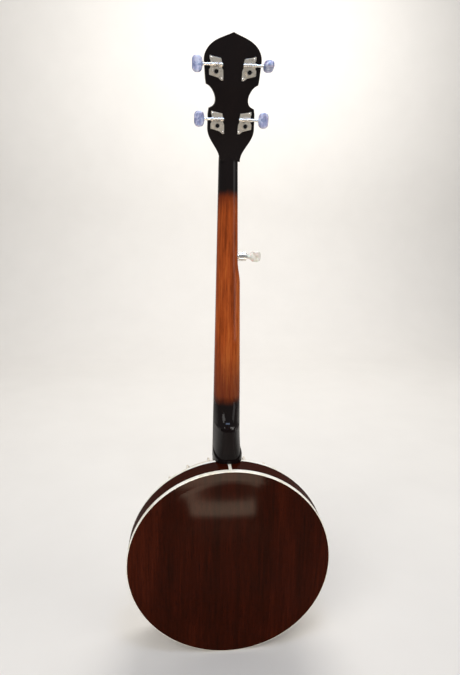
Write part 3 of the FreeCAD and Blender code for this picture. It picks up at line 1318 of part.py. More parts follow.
def arch_curve(face):
    """Outline of the arched panel from its edge to the middle, flat at its border."""
    edge = RESONATOR_RADIUS - BINDING_THICK
    border = edge - RESONATOR_FLAT
    steps = 14
    points = []
    for index in range(steps + 1):
        inside = index / steps
        eased = inside * inside / (inside + 0.1) * 1.1
        rise = RESONATOR_ARCH * (1.0 - (1.0 - eased) ** 2)
        points.append(vec(border * (1.0 - inside), face + rise, POT_Z))
    curve = Part.BSplineCurve()
    curve.interpolate(points)
    return vec(edge, face, POT_Z), points, curve.toShape()


def resonator_back():
    """Carved panel, flat at its border and gently arched, closing the side's back edge."""
    outer_edge, outer, outer_curve = arch_curve(RESONATOR_BACK)
    inner_edge, inner, inner_curve = arch_curve(RESONATOR_BACK - RESONATOR_PANEL)
    outline = Part.Wire(Part.__sortEdges__([
        Part.makeLine(outer_edge, outer[0]),
        outer_curve,
        Part.makeLine(outer[-1], inner[-1]),
        inner_curve,
        Part.makeLine(inner[0], inner_edge),
        Part.makeLine(inner_edge, outer_edge),
    ]))
    return Part.Face(outline).revolve(vec(0, 0, POT_Z), Y_AXIS, 360)


def resonator_lugs():
    """Threaded brackets on the resonator's wall behind each thumb screw."""
    lugs = []
    for angle in thumb_angles():
        low, high = POT_Z + THUMB_CIRCLE - 5.5, POT_Z + RESONATOR_INNER + 2
        body = block(-LUG_WIDTH / 2, LUG_WIDTH / 2, FLANGE_BACK, FLANGE_BACK + 3.0, low, high)
        foot_low = POT_Z + RESONATOR_INNER - 3.4
        foot = block(-LUG_WIDTH / 2, LUG_WIDTH / 2, FLANGE_BACK, FLANGE_BACK + 22.0, foot_low, high)
        z = POT_Z + THUMB_CIRCLE
        boss = rod_y(0, FLANGE_BACK, FLANGE_BACK + LUG_DEPTH, z, 4.4)
        lug = fuse_all([body, foot, boss]).common(pot_tube(RESONATOR_INNER, 100, 0, 100))
        bore = rod_y(0, 0, 100, z, THUMB_SHANK_RADIUS + SEAT_GAP)
        lugs.append(to_clock(lug.cut(bore).removeSplitter(), angle))
    return lugs


def thumb_screws():
    """Fluted heads in front of the flange, shanks in the lugs."""
    screws = []
    for angle in thumb_angles():
        z = POT_Z + THUMB_CIRCLE
        seat = FLANGE_FRONT - 0.05
        knob = rod(vec(0, seat - THUMB_HEAD_LENGTH, z), vec(0, seat - 1.2, z), THUMB_HEAD_RADIUS)
        rims = [edge for edge in knob.Edges if edge.BoundBox.YLength < 0.01]
        knob = knob.makeFillet(0.8, rims)
        flutes = []
        for index in range(12):
            turn = math.radians(30.0 * index)
            spot = vec(6.1 * math.cos(turn), seat - THUMB_HEAD_LENGTH - 1, z + 6.1 * math.sin(turn))
            flutes.append(rod(spot, spot + vec(0, THUMB_HEAD_LENGTH + 2, 0), 1.0))
        knob = cut_all(knob, flutes)
        collar = rod(vec(0, seat - 1.3, z), vec(0, seat, z), 4.2)
        shank = rod(vec(0, seat - 0.5, z), vec(0, FLANGE_BACK + LUG_DEPTH - 0.5, z), THUMB_SHANK_RADIUS)
        screws.append(to_clock(fuse_all([knob, collar, shank]), angle))
    return screws


# ---------------------------------------------------------------- bridge and strings


def string_tail_point(string):
    """Where a string leaves its hook on the tailpiece."""
    return vec((2 - string) * TAIL_HOOK_SPACING, TAIL_Y - TAIL_THICK - 1.3, TAIL_END_Z + 14.0)


def string_post_point(string):
    """Where strings one to four meet their posts."""
    side, x, s = post_places()[string]
    f = OVERLAY_THICK + POST_HEIGHT - 6.6
    point = PEGHEAD.multVec(vec(side * x, s, f))
    point.x -= side * (2.3 + STRING_RADII[string])
    return point


def string_route(string):
    """Corner points of a string from its tail hook to its post."""
    radius = STRING_RADII[string]
    tail = string_tail_point(string)
    bridge_point = vec(bridge_string_x(string), BRIDGE_TOP + radius, BRIDGE_Z)
    if string < 4:
        nut_point = vec(nut_string_x(string), NUT_SLOT_Y, NUT_Z)
        nut_exit = vec(nut_string_x(string), NUT_SLOT_Y, NUT_Z + NUT_THICK)
        return [tail, bridge_point, nut_point, nut_exit, string_post_point(string)]
    pip = fifth_pip_foot()
    pip_point = vec(pip.x, pip.y - PIP_SLOT_HEIGHT - radius - SEAT_GAP, pip.z + FIFTH_PIP_RADIUS)
    spool_x = -(FIFTH_BARREL_START + 1.0 + MOVING_GAP + 1.6)
    end = vec(spool_x, FIFTH_PEG_Y - FIFTH_SPOOL_RADIUS - radius, below_nut(FIFTH_PEG_FROM_NUT))
    return [tail, bridge_point, pip_point, end]


def string_solid(string):
    radius = STRING_RADII[string]
    route = string_route(string)
    pieces = [rod(start, end, radius) for start, end in zip(route, route[1:])]
    pieces += [Part.makeSphere(radius, point) for point in route[1:-1]]
    return fuse_all(pieces)


def tail_string_room(string):
    """Room for a string where it leaves its hook on the tailpiece."""
    route = string_route(string)
    return rod(route[0], route[1], STRING_RADII[string] + SEAT_GAP)


def bridge():
    """Three-footed maple bridge, thinner at its top."""
    half = BRIDGE_LENGTH / 2.0
    foot, arch = 9.0, 8.6
    foot_gap = (BRIDGE_LENGTH - 3 * foot) / 2.0
    inner = half - foot
    base_y, top_y = HEAD_Y, BRIDGE_TOP
    low = BRIDGE_Z - BRIDGE_FOOT_THICK / 2.0
    outline = [
        vec(-half, base_y, 0), vec(-half, base_y - 5.0, 0), vec(-half + 5.5, top_y + 3.0, 0),
        vec(-half + 8.0, top_y, 0), vec(half - 8.0, top_y, 0), vec(half - 5.5, top_y + 3.0, 0),
        vec(half, base_y - 5.0, 0), vec(half, base_y, 0),
    ]
    body = prism([vec(point.x, point.y, low) for point in outline], vec(0, 0, BRIDGE_FOOT_THICK))
    tools = []
    for side in (-1, 1):
        middle = side * (foot / 2.0 + foot_gap / 2.0)
        left, right = middle - foot_gap / 2, middle + foot_gap / 2
        tools.append(block(left, right, base_y - arch / 2, base_y + 1, low - 1, low + 20))
        centre = vec(middle, base_y - arch / 2, low - 1)
        tools.append(rod(centre, centre + vec(0, 0, 20), foot_gap / 2.0 * 0.62))
    body = cut_all(body, tools)
    slope = (BRIDGE_FOOT_THICK - BRIDGE_TOP_THICK) / 2.0
    wedge = [
        vec(-half - 1, base_y + 0.01, low), vec(-half - 1, base_y + 0.01, low + BRIDGE_FOOT_THICK),
        vec(-half - 1, top_y - 0.01, low + BRIDGE_FOOT_THICK - slope),
        vec(-half - 1, top_y - 0.01, low + slope),
    ]
    body = body.common(prism(wedge, vec(BRIDGE_LENGTH + 2, 0, 0)))
    notches = []
    for string in range(5):
        x = bridge_string_x(string)
        radius = STRING_RADII[string] + SEAT_GAP
        floor = BRIDGE_TOP + STRING_RADII[string] + radius + 0.15
        notches.append(block(x - radius, x + radius, BRIDGE_TOP - 1, floor, low - 1, low + 20))
    return cut_all(body, notches).removeSplitter()


# ---------------------------------------------------------------- tailpiece


def tailpiece_base():
    """Bent plate: floor with string hooks, hinge ears, and a leg down behind the hoop."""
    half = TAIL_WIDTH / 2.0
    floor_front = TAIL_Y - TAIL_THICK
    floor = block(-half, half, floor_front, TAIL_Y, TAIL_END_Z, TAIL_FRONT_Z)
    leg_half = half * 0.62
    leg = block(-leg_half, leg_half, floor_front, HOOP_BACK + 4.0, TAIL_END_Z, TAIL_END_Z + 1.8)
    foot_half = leg_half * 0.7
    foot = block(-foot_half, foot_half, HOOP_BACK + 2.2, HOOP_BACK + 4.0, TAIL_END_Z, TAIL_END_Z + 4.6)
    pieces = [floor, leg, foot]
    for side in (-1, 1):
        inner, outer = side * (half - TAIL_EAR), side * half
        low, high = min(inner, outer), max(inner, outer)
        pieces.append(block(low, high, TAIL_PIN_Y, TAIL_Y, TAIL_PIN_Z - 2.4, TAIL_PIN_Z + 2.4))
        pieces.append(rod(vec(low, TAIL_PIN_Y, TAIL_PIN_Z), vec(high, TAIL_PIN_Y, TAIL_PIN_Z), 2.4))
    for string in range(5):
        tail = string_tail_point(string)
        peg = rod(vec(tail.x, TAIL_Y - 0.4, tail.z), vec(tail.x, tail.y - 1.2, tail.z), 0.9)
        pieces.append(peg)
    body = fuse_all(pieces)
    bolt = rod(vec(0, -20, TAIL_END_Z + 2.7), vec(0, 40, TAIL_END_Z + 2.7), HOOK_RADIUS + SEAT_GAP)
    bolt = bolt.common(block(-20, 20, HOOP_BACK, 60, -2000, 0))
    pin_bore = rod_x(-40, 40, TAIL_PIN_Y, TAIL_PIN_Z, TAIL_PIN_RADIUS + SEAT_GAP)
    rooms = [tail_string_room(string) for string in range(5)]
    return cut_all(body, [pin_bore] + rooms).removeSplitter()


def tailpiece_bolt():
    """Bolt that draws the tailpiece's leg down to the flange, with its nut."""
    centre = pot_point(HOOK_CIRCLE, 180.0, 0)
    front = HOOP_BACK + 4.0
    head_part = rod(vec(0, front, centre.z), vec(0, front + 3.0, centre.z), 3.4)
    shank = rod(vec(0, front, centre.z), vec(0, HOOK_END_Y, centre.z), HOOK_RADIUS)
    nut = prism(hex_outline(NUT_AF_RADIUS, FLANGE_BACK, centre.z, Y_AXIS), vec(0, NUT_LENGTH, 0))
    nut = nut.cut(rod_y(0, FLANGE_BACK - 1, HOOK_END_Y + SEAT_GAP, centre.z, HOOK_RADIUS + SEAT_GAP))
    return [fuse_all([head_part, shank]), nut]


def tailpiece_pin():
    half = TAIL_WIDTH / 2.0 + 0.6
    return rod(vec(-half, TAIL_PIN_Y, TAIL_PIN_Z), vec(half, TAIL_PIN_Y, TAIL_PIN_Z), TAIL_PIN_RADIUS)


def tailpiece_cover():
    """Curved lid over the string hooks, with two knuckles on the pin."""
    half = TAIL_WIDTH / 2.0 - TAIL_EAR - MOVING_GAP
    top = TAIL_PIN_Y - TAIL_PIN_RADIUS - 1.5
    lid_end = TAIL_END_Z + 3.0
    lid = block(-half, half, top, top + COVER_THICK, lid_end, TAIL_PIN_Z + 2.0)
    upright = [edge for edge in lid.Edges if edge.BoundBox.YLength > COVER_THICK / 2]
    corners = [edge for edge in upright if edge.BoundBox.ZMax < lid_end + 1]
    lid = lid.makeFillet(5.0, corners)
    apron = block(-half + 5.2, half - 5.2, top, TAIL_Y - TAIL_THICK - 0.6, lid_end, lid_end + COVER_THICK)
    pieces = [lid, apron]
    for side in (-1, 1):
        low, high = sorted((side * (half - 4.0), side * half))
        pieces.append(rod_x(low, high, TAIL_PIN_Y, TAIL_PIN_Z, TAIL_PIN_RADIUS + 1.0))
        pieces.append(block(low, high, top, TAIL_PIN_Y, TAIL_PIN_Z - 2.0, TAIL_PIN_Z + 2.0))
    body = fuse_all(pieces)
    bore = rod(vec(-40, TAIL_PIN_Y, TAIL_PIN_Z), vec(40, TAIL_PIN_Y, TAIL_PIN_Z), TAIL_PIN_RADIUS + SEAT_GAP)
    return body.cut(bore).removeSplitter()


# ---------------------------------------------------------------- armrest
def armrest():
    """Curved plate above the bass side of the hoop on two clamped legs."""
    front = HOOP_FRONT - ARMREST_RISE
    plate = pot_ring([
        (ARMREST_INNER, front + 1.6), (ARMREST_INNER + 1.2, front + 0.2), (ARMREST_OUTER - 4.0, front),
        (ARMREST_OUTER, front + 3.4), (ARMREST_OUTER, front + 5.6),
        (ARMREST_OUTER - ARMREST_THICK, front + 5.6),
        (ARMREST_OUTER - 4.8, front + ARMREST_THICK), (ARMREST_INNER + 1.2, front + ARMREST_THICK + 0.2),
        (ARMREST_INNER, front + ARMREST_THICK),
    ])
    half = ARMREST_SPREAD / 2.0
    far = 400.0
    wedge = prism(
        [vec(0, front - 5, POT_Z)]
        + [
            pot_point(far, ARMREST_ANGLE + turn, front - 5)
            for turn in (-half, -half / 2.0, 0.0, half / 2.0, half)
        ],
        vec(0, 30, 0),
    )
    pieces = [plate.common(wedge)]
    for angle in armrest_leg_angles():
        high = POT_Z + ARMREST_OUTER
        leg_half = ARMREST_LEG / 2.0
        leg = block(-leg_half, leg_half, front + 4.8, HOOP_BACK + 8, high - ARMREST_THICK, high)
        toe = block(-leg_half, leg_half, HOOP_BACK + 0.6, HOOP_BACK + 2.6, POT_Z + RIM_RADIUS + 0.6, high)
        pieces.append(to_clock(leg.fuse(toe), angle))
    return fuse_all(pieces)


def armrest_leg_angles():
    """Legs stand in the gaps between hooks nearest the plate's ends."""
    ends = (ARMREST_ANGLE - ARMREST_SPREAD * 0.34, ARMREST_ANGLE + ARMREST_SPREAD * 0.34)
    return [min(slot_angles(), key=lambda angle: abs(angle - end)) for end in ends]


# ---------------------------------------------------------------- write the nodes
def write_neck():
    screw_holes = []
    for side, x, s in post_places():
        for hole in plate_screw_holes():
            screw_holes.append(on_tuner(hole, side, x, s))
    tools = rim_cutters() + post_holes() + screw_holes
    tools += [truss_pocket(), truss_channel(), fifth_hole(), fifth_seat()]
    tools += cover_screw_holes(OVERLAY_THICK) + lag_holes()
    write("neck", cut_all(neck_solid(), tools))
    write("truss_rod", truss_rod())
    write("fingerboard", cut_all(fingerboard(), [fifth_seat(), fifth_hole()]))
    write("frets", [fret_wire(fret) for fret in range(1, FRET_COUNT + 1)])
    write("position_dots", inlay_discs(0.0))
    write("string_nuts", [nut_block(), fifth_pip()])
    write("peghead_overlay", overlay())
    write("truss_rod_cover", truss_rod_cover())


def write_tuners():
    plates, screws, bushings = [], cover_screws(), []
    for number, (side, x, s) in enumerate(post_places(), 1):
        plates.append(on_tuner(tuner_plate(), side, x, s))
        bushings.append(on_tuner(post_bushing(), side, x, s))
        for spot_x, spot_y in plate_screw_spots():
            screw = wood_screw()
            screw.translate(vec(spot_x, spot_y, PLATE_THICK))
            screws.append(on_tuner(screw, side, x, s))
        turn = BUTTON_REST_TURN if number == 3 else 0.0
        write("worm_shaft_" + str(number), on_tuner(worm_shaft(), side, x, s))
        write("tuner_button_" + str(number), on_tuner(tuner_button(turn), side, x, s))
        write("string_post_" + str(number), on_tuner(post(), side, x, s))
        write("cog_" + str(number), on_tuner(cog(), side, x, s))
        write("cog_screw_" + str(number), on_tuner(cog_screw(), side, x, s))
    write("tuner_plates", plates)
    write("wood_screws", screws)
    write("post_bushings", bushings)


def write_fifth_peg():
    write("fifth_peg_barrel", on_fifth(fifth_barrel()))
    write("fifth_peg_cap", on_fifth(fifth_cap()))
    write("fifth_peg_spool", on_fifth(fifth_spool()))
    write("fifth_peg_input", on_fifth(fifth_input()))
    write("fifth_peg_button", on_fifth(fifth_button()))
    for index in range(PLANET_COUNT):
        write("fifth_peg_planet_" + str(index + 1), on_fifth(fifth_planet(index)))


def write_pot():
    write("rim", rim())
    write("tone_ring", tone_ring())
    write("head", [head_film(), head_collar()])
    write("tension_hoop", tension_hoop())
    write("hooks", [to_clock(hook(), angle) for angle in hook_angles()])
    write("hook_nuts", [to_clock(hook_nut(), angle) for angle in hook_angles()])
    write("flange", flange())
    write("coordinator_rods", coordinator_rods())
    write("pot_bolts", neck_lag_bolts() + rod_end_bolts())
    write("armrest", armrest())


def write_resonator():
    write("resonator_side", resonator_side())
    write("resonator_back", resonator_back())
    write("resonator_bindings", resonator_bindings())
    write("resonator_lugs", resonator_lugs())
    write("thumb_screws", thumb_screws())


def write_strings():
    write("bridge", bridge())
    write("tailpiece_base", tailpiece_base())
    write("tailpiece_cover", tailpiece_cover())
    write("tailpiece_pin", tailpiece_pin())
    write("tailpiece_bolt", tailpiece_bolt())
    write("strings", [string_solid(string) for string in range(5)])


write_neck()
write_tuners()
write_fifth_peg()
write_pot()
write_resonator()
write_strings()
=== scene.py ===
import json
import math

import bpy
from mathutils import Matrix, Vector


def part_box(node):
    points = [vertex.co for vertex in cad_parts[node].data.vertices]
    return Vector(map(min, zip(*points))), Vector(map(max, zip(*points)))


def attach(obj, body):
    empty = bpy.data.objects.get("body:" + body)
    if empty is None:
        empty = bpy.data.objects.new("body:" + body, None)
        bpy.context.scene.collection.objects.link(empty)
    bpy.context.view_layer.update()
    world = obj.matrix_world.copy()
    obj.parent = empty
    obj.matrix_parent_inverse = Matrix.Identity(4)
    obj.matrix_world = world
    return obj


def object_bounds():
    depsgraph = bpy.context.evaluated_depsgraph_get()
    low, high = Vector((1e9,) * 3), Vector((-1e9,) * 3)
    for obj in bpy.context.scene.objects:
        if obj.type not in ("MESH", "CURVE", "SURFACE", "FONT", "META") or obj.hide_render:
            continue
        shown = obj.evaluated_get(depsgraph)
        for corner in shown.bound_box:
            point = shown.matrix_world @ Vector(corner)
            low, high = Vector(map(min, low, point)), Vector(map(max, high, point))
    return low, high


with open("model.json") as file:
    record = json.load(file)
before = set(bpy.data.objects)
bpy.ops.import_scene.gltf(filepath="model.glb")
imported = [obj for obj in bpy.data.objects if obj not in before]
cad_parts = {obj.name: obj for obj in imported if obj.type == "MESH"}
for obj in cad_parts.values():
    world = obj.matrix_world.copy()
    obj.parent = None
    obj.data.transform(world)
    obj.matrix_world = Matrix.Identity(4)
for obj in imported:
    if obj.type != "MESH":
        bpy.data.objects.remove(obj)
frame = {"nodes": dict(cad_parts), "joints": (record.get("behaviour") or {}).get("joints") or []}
cad_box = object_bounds()
nodes = frame["nodes"]

MM = 0.001


# ---------------------------------------------------------------- places read from the frame
def middle(node):
    low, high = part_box(node)
    return (low + high) / 2.0


pot = middle("resonator_back")                  # X and Z of the pot's centre
nut_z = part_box("fingerboard")[1].z
bridge_low, bridge_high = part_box("bridge")


# ---------------------------------------------------------------- finishes
class Finish:
    """A material built on one Principled shader, with the node recipes that the surfaces share."""

    def __init__(self, name, **sockets):
        self.material = bpy.data.materials.new(name)
        self.material.use_nodes = True
        self.tree = self.material.node_tree
        self.tree.nodes.clear()
        output = self.tree.nodes.new("ShaderNodeOutputMaterial")
        self.shader = self.tree.nodes.new("ShaderNodeBsdfPrincipled")
        self.join(self.shader.outputs["BSDF"], output.inputs["Surface"])
        for key, value in sockets.items():
            self.shader.inputs[key.replace("_", " ")].default_value = value
        self.place = self.tree.nodes.new("ShaderNodeTexCoord").outputs["Object"]
        self.normal = None

    def join(self, source, target):
        self.tree.links.new(source, target)

    def put(self, target, value):
        if isinstance(value, bpy.types.NodeSocket):
            self.join(value, target)
        else:
            target.default_value = value

    def stretch(self, scale, source=None, rotation=(0.0, 0.0, 0.0)):
        node = self.tree.nodes.new("ShaderNodeMapping")
        self.join(source or self.place, node.inputs["Vector"])
        node.inputs["Scale"].default_value = scale
        node.inputs["Rotation"].default_value = rotation
        return node.outputs["Vector"]

    def noise(self, vector, scale=1.0, detail=3.0, roughness=0.55, distortion=0.0):
        node = self.tree.nodes.new("ShaderNodeTexNoise")
        self.join(vector, node.inputs["Vector"])
        node.inputs["Scale"].default_value = scale
        node.inputs["Detail"].default_value = detail
        node.inputs["Roughness"].default_value = roughness
        node.inputs["Distortion"].default_value = distortion
        return node.outputs["Fac"]

    def cells(self, vector, scale, feature="F1", out="Distance"):
        node = self.tree.nodes.new("ShaderNodeTexVoronoi")
        node.feature = feature
        self.join(vector, node.inputs["Vector"])
        node.inputs["Scale"].default_value = scale
        return node.outputs[out]

    def span(self, value, low, high, to_low=0.0, to_high=1.0, smooth=False):
        node = self.tree.nodes.new("ShaderNodeMapRange")
        if smooth:
            node.interpolation_type = "SMOOTHSTEP"
        self.join(value, node.inputs["Value"])
        for key, number in (("From Min", low), ("From Max", high), ("To Min", to_low), ("To Max", to_high)):
            node.inputs[key].default_value = number
        return node.outputs["Result"]

    def maths(self, operation, first, second=0.0):
        node = self.tree.nodes.new("ShaderNodeMath")
        node.operation = operation
        self.put(node.inputs[0], first)
        self.put(node.inputs[1], second)
        return node.outputs["Value"]

    def ramp(self, value, *stops):
        node = self.tree.nodes.new("ShaderNodeValToRGB")
        self.join(value, node.inputs["Fac"])
        points = node.color_ramp.elements
        while len(points) < len(stops):
            points.new(0.5)
        for point, (position, colour) in zip(points, stops):
            point.position = position
            point.color = (*colour, 1.0)
        return node.outputs["Color"]

    def mix(self, amount, first, second, mode="MIX"):
        node = self.tree.nodes.new("ShaderNodeMix")
        node.data_type = "RGBA"
        node.blend_type = mode
        self.put(node.inputs["Factor"], amount)
        for socket, value in ((node.inputs[6], first), (node.inputs[7], second)):
            if isinstance(value, tuple):
                value = (*value, 1.0)
            self.put(socket, value)
        return node.outputs[2]

    def axes(self, source=None):
        node = self.tree.nodes.new("ShaderNodeSeparateXYZ")
        self.join(source or self.place, node.inputs["Vector"])
        return node.outputs["X"], node.outputs["Y"], node.outputs["Z"]

    def vector(self, x, y, z):
        node = self.tree.nodes.new("ShaderNodeCombineXYZ")
        for socket, value in zip(node.inputs, (x, y, z)):
            self.put(socket, value)
        return node.outputs["Vector"]

    def colour(self, source):
        self.join(source, self.shader.inputs["Base Color"])

    def rough(self, source):
        self.join(source, self.shader.inputs["Roughness"])

    def round_edges(self, radius):
        """Rounds the shading over the model's sharp edges, as polishing does."""
        node = self.tree.nodes.new("ShaderNodeBevel")
        node.samples = 4
        node.inputs["Radius"].default_value = radius
        self.normal = node.outputs["Normal"]
        self.join(self.normal, self.shader.inputs["Normal"])

    def bump(self, height, distance, strength=1.0):
        node = self.tree.nodes.new("ShaderNodeBump")
        node.inputs["Distance"].default_value = distance
        node.inputs["Strength"].default_value = strength
        self.join(height, node.inputs["Height"])
        if self.normal is not None:
            self.join(self.normal, node.inputs["Normal"])
        self.normal = node.outputs["Normal"]
        self.join(self.normal, self.shader.inputs["Normal"])

    def round_pot(self):
        """Coordinates that run round the pot: along its circumference, through its depth and outward."""
        x, y, z = self.axes()
        across = self.maths("SUBTRACT", x, pot.x)
        down = self.maths("SUBTRACT", z, pot.z)
        turn = self.maths("ARCTAN2", across, down)
        reach = self.maths("SQRT", self.maths("ADD", self.maths("MULTIPLY", across, across),
                                              self.maths("MULTIPLY", down, down)))
        return self.vector(self.maths("MULTIPLY", turn, 0.16), y, reach)


def paint(name, finish):
    """Give a CAD node one finish all over."""
    slots = nodes[name].data.materials
    slots.clear()
    slots.append(finish.material)


def wood_grain(finish, along, dark, mid, light, figure=1.0):
    """Open-pored wood: broad bands, fine fibres and short dark pores. along stretches the grain."""
    broad = finish.noise(finish.stretch(tuple(figure * 34.0 * k for k in along)), detail=4.0, distortion=0.7)
    fibre = finish.noise(finish.stretch(tuple(330.0 * k for k in along)), detail=3.0, roughness=0.6)
    pores = finish.noise(finish.stretch(tuple(1500.0 * k for k in along)), detail=1.0)
    tone = finish.maths("ADD", finish.maths("MULTIPLY", broad, 0.62), finish.maths("MULTIPLY", fibre, 0.38))
    body = finish.ramp(tone, (0.36, dark), (0.5, mid), (0.64, light))
    pore = finish.span(pores, 0.60, 0.70, smooth=True)
    body = finish.mix(finish.maths("MULTIPLY", pore, 0.45), body, tuple(0.35 * channel for channel in dark))
    return body, fibre, pore


def tint(code):
    """Scene-linear colour from a hex code."""
    channels = [int(code[k:k + 2], 16) / 255.0 for k in (0, 2, 4)]
    return tuple(c / 12.92 if c <= 0.04045 else ((c + 0.055) / 1.055) ** 2.4 for c in channels)


UPRIGHT = (1.0, 1.0, 0.05)                      # grain that runs up the instrument
ROUND = (0.05, 1.0, 1.0)                        # grain that runs round the pot


def neck_finish():
    """Mahogany shaded to black at the peghead and the heel, under clear gloss."""
    f = Finish("mahogany", Coat_Weight=0.30, Coat_Roughness=0.05, Specular_IOR_Level=0.0)
    body, fibre, pore = wood_grain(f, UPRIGHT, tint("6A2A0B"), tint("9D471B"), tint("BA672C"))
    x, y, z = f.axes()
    cloud = f.noise(f.place, scale=55.0, detail=2.0)
    height = f.maths("ADD", z, f.maths("MULTIPLY", f.maths("SUBTRACT", cloud, 0.5), 0.012))
    upper = f.span(height, nut_z - 0.057, nut_z - 0.043, smooth=True)
    lower = f.span(height, nut_z - 0.373, nut_z - 0.393, smooth=True)
    shade = f.maths("MAXIMUM", upper, lower)
    near_shade = f.maths("MAXIMUM", f.span(height, nut_z - 0.085, nut_z - 0.045, smooth=True),
                         f.span(height, nut_z - 0.275, nut_z - 0.385, smooth=True))
    body = f.mix(f.maths("MULTIPLY", near_shade, 0.75), body, tint("4A1808"))
    stain = f.mix(0.02, tint("0F0E0E"), body)
    f.colour(f.mix(shade, body, stain))
    smear = f.noise(f.stretch((26.0, 26.0, 9.0)), detail=3.0)
    f.rough(f.span(f.maths("ADD", smear, f.maths("MULTIPLY", pore, 0.3)), 0.3, 0.9, 0.13, 0.30))
    f.round_edges(0.0016)
    ripple = f.noise(f.place, scale=240.0, detail=1.0)
    relief = f.maths("SUBTRACT", f.maths("MULTIPLY", ripple, 0.5), f.maths("MULTIPLY", pore, 0.35))
    f.bump(relief, 0.00012, 0.5)
    return f


def resonator_finish(name, around):
    """Dark red-brown mahogany gloss; the grain runs round the side and up the back."""
    f = Finish(name, Coat_Weight=0.08, Coat_Roughness=0.10, Specular_IOR_Level=0.0)
    place = f.round_pot() if around else f.place
    along = ROUND if around else UPRIGHT
    broad = f.noise(f.stretch(tuple(15.0 * k for k in along), place), detail=5.0, distortion=0.9)
    fibre = f.noise(f.stretch(tuple(230.0 * k for k in along), place), detail=3.0, roughness=0.65)
    pores = f.noise(f.stretch(tuple(1250.0 * k for k in along), place), detail=1.0)
    tone = f.maths("ADD", f.maths("MULTIPLY", broad, 0.6), f.maths("MULTIPLY", fibre, 0.4))
    body = f.ramp(tone, (0.34, tint("1D0802")), (0.5, tint("2D0C03")), (0.68, tint("3F1507")))
    pore = f.span(pores, 0.60, 0.70, smooth=True)
    body = f.mix(f.maths("MULTIPLY", pore, 0.6), body, tint("0E0403"))
    f.colour(body)
    smear = f.noise(f.place, scale=22.0, detail=4.0)
    f.rough(f.span(smear, 0.3, 0.75, 0.16, 0.28))
    f.round_edges(0.0008)
    ripple = f.noise(f.place, scale=150.0, detail=2.0)
    f.bump(f.maths("SUBTRACT", ripple, f.maths("MULTIPLY", pore, 0.25)), 0.00006, 0.5)
    return f


def rosewood_finish():
    f = Finish("rosewood", Coat_Weight=0.1, Coat_Roughness=0.3)
    body, fibre, pore = wood_grain(f, UPRIGHT, tint("1F0F0B"), tint("3B2016"), tint("5A3423"), figure=1.6)
    f.colour(body)
    f.rough(f.span(f.maths("ADD", fibre, pore), 0.3, 1.2, 0.38, 0.62))
    f.round_edges(0.0004)
    f.bump(f.maths("SUBTRACT", f.maths("MULTIPLY", fibre, 0.4), pore), 0.0002, 0.5)
    return f


def maple_finish(name, around=False, tip=None):
    """Pale maple, laminated round the rim; tip blackens what stands in front of that Y."""
    f = Finish(name, Coat_Weight=0.35, Coat_Roughness=0.15)
    place = f.round_pot() if around else f.place
    along = ROUND if around else (0.06, 1.0, 1.0)
    broad = f.noise(f.stretch(tuple(40.0 * k for k in along), place), detail=4.0, distortion=0.6)
    fibre = f.noise(f.stretch(tuple(420.0 * k for k in along), place), detail=2.0)
    curl = f.noise(f.stretch((95.0, 12.0, 12.0), place), detail=2.0)
    tone = f.maths("ADD", f.maths("MULTIPLY", broad, 0.5),
                   f.maths("ADD", f.maths("MULTIPLY", fibre, 0.3), f.maths("MULTIPLY", curl, 0.2)))
    body = f.ramp(tone, (0.35, tint("B98750")), (0.5, tint("D8AE74")), (0.66, tint("EACB97")))
    if around:
        ply = f.maths("FRACT", f.maths("MULTIPLY", f.axes(place)[2], 1.0 / 0.0042))
        seam = f.span(ply, 0.95, 1.0, smooth=True)
        body = f.mix(f.maths("MULTIPLY", seam, 0.7), body, tint("6B4423"))
    if tip is not None:
        wandering = f.maths("ADD", f.axes()[1], f.maths("MULTIPLY", fibre, 0.0003))
        body = f.mix(f.span(wandering, tip, tip - 0.0002), body, tint("14100E"))
    f.colour(body)
    f.rough(f.span(tone, 0.3, 0.7, 0.24, 0.42))
    f.round_edges(0.0004)
    f.bump(fibre, 0.00008, 0.4)
    return f


def plated_finish(name, colour, dull, smooth, coarse, brushed=None, edge=0.0003, stain=0.35):
    """Plated metal: smooth to coarse roughness in handled patches, fine scratches and a dull stain."""
    f = Finish(name, Metallic=1.0)
    patches = f.noise(f.place, scale=130.0, detail=4.0, roughness=0.6)
    scratch = f.noise(f.stretch(brushed or (900.0, 900.0, 140.0)), detail=2.0)
    haze = f.span(patches, 0.5, 0.72, smooth=True)
    f.colour(f.mix(f.maths("MULTIPLY", haze, stain), colour, dull))
    wear = f.maths("ADD", f.maths("MULTIPLY", patches, 0.65), f.maths("MULTIPLY", scratch, 0.35))
    f.rough(f.span(wear, 0.35, 0.68, smooth, coarse))
    f.round_edges(edge)
    f.bump(scratch, 0.00003, 0.35 if brushed else 0.12)
    return f


def plastic_finish(name, low, mid, high, scale, gloss=(0.16, 0.30), edge=0.0004, depth=0.0001, **sockets):
    """Cast plastic or shell whose colour drifts through three tones in soft flakes."""
    f = Finish(name, Coat_Weight=0.5, Coat_Roughness=0.06, **sockets)
    warp = f.noise(f.place, scale=scale * 0.6, detail=3.0, distortion=1.2)
    flake = f.cells(f.stretch((1.0, 1.0, 0.45), f.vector(*[
        f.maths("ADD", axis, f.maths("MULTIPLY", warp, 2.2 / scale)) for axis in f.axes()])), scale)
    tone = f.maths("ADD", f.maths("MULTIPLY", warp, 0.7), f.maths("MULTIPLY", flake, 0.35))
    f.colour(f.ramp(tone, (0.34, low), (0.52, mid), (0.7, high)))
    fine = f.noise(f.place, scale=900.0, detail=2.0)
    f.rough(f.span(fine, 0.3, 0.7, *gloss))
    f.round_edges(edge)
    f.bump(fine, depth, 0.25)
    return f


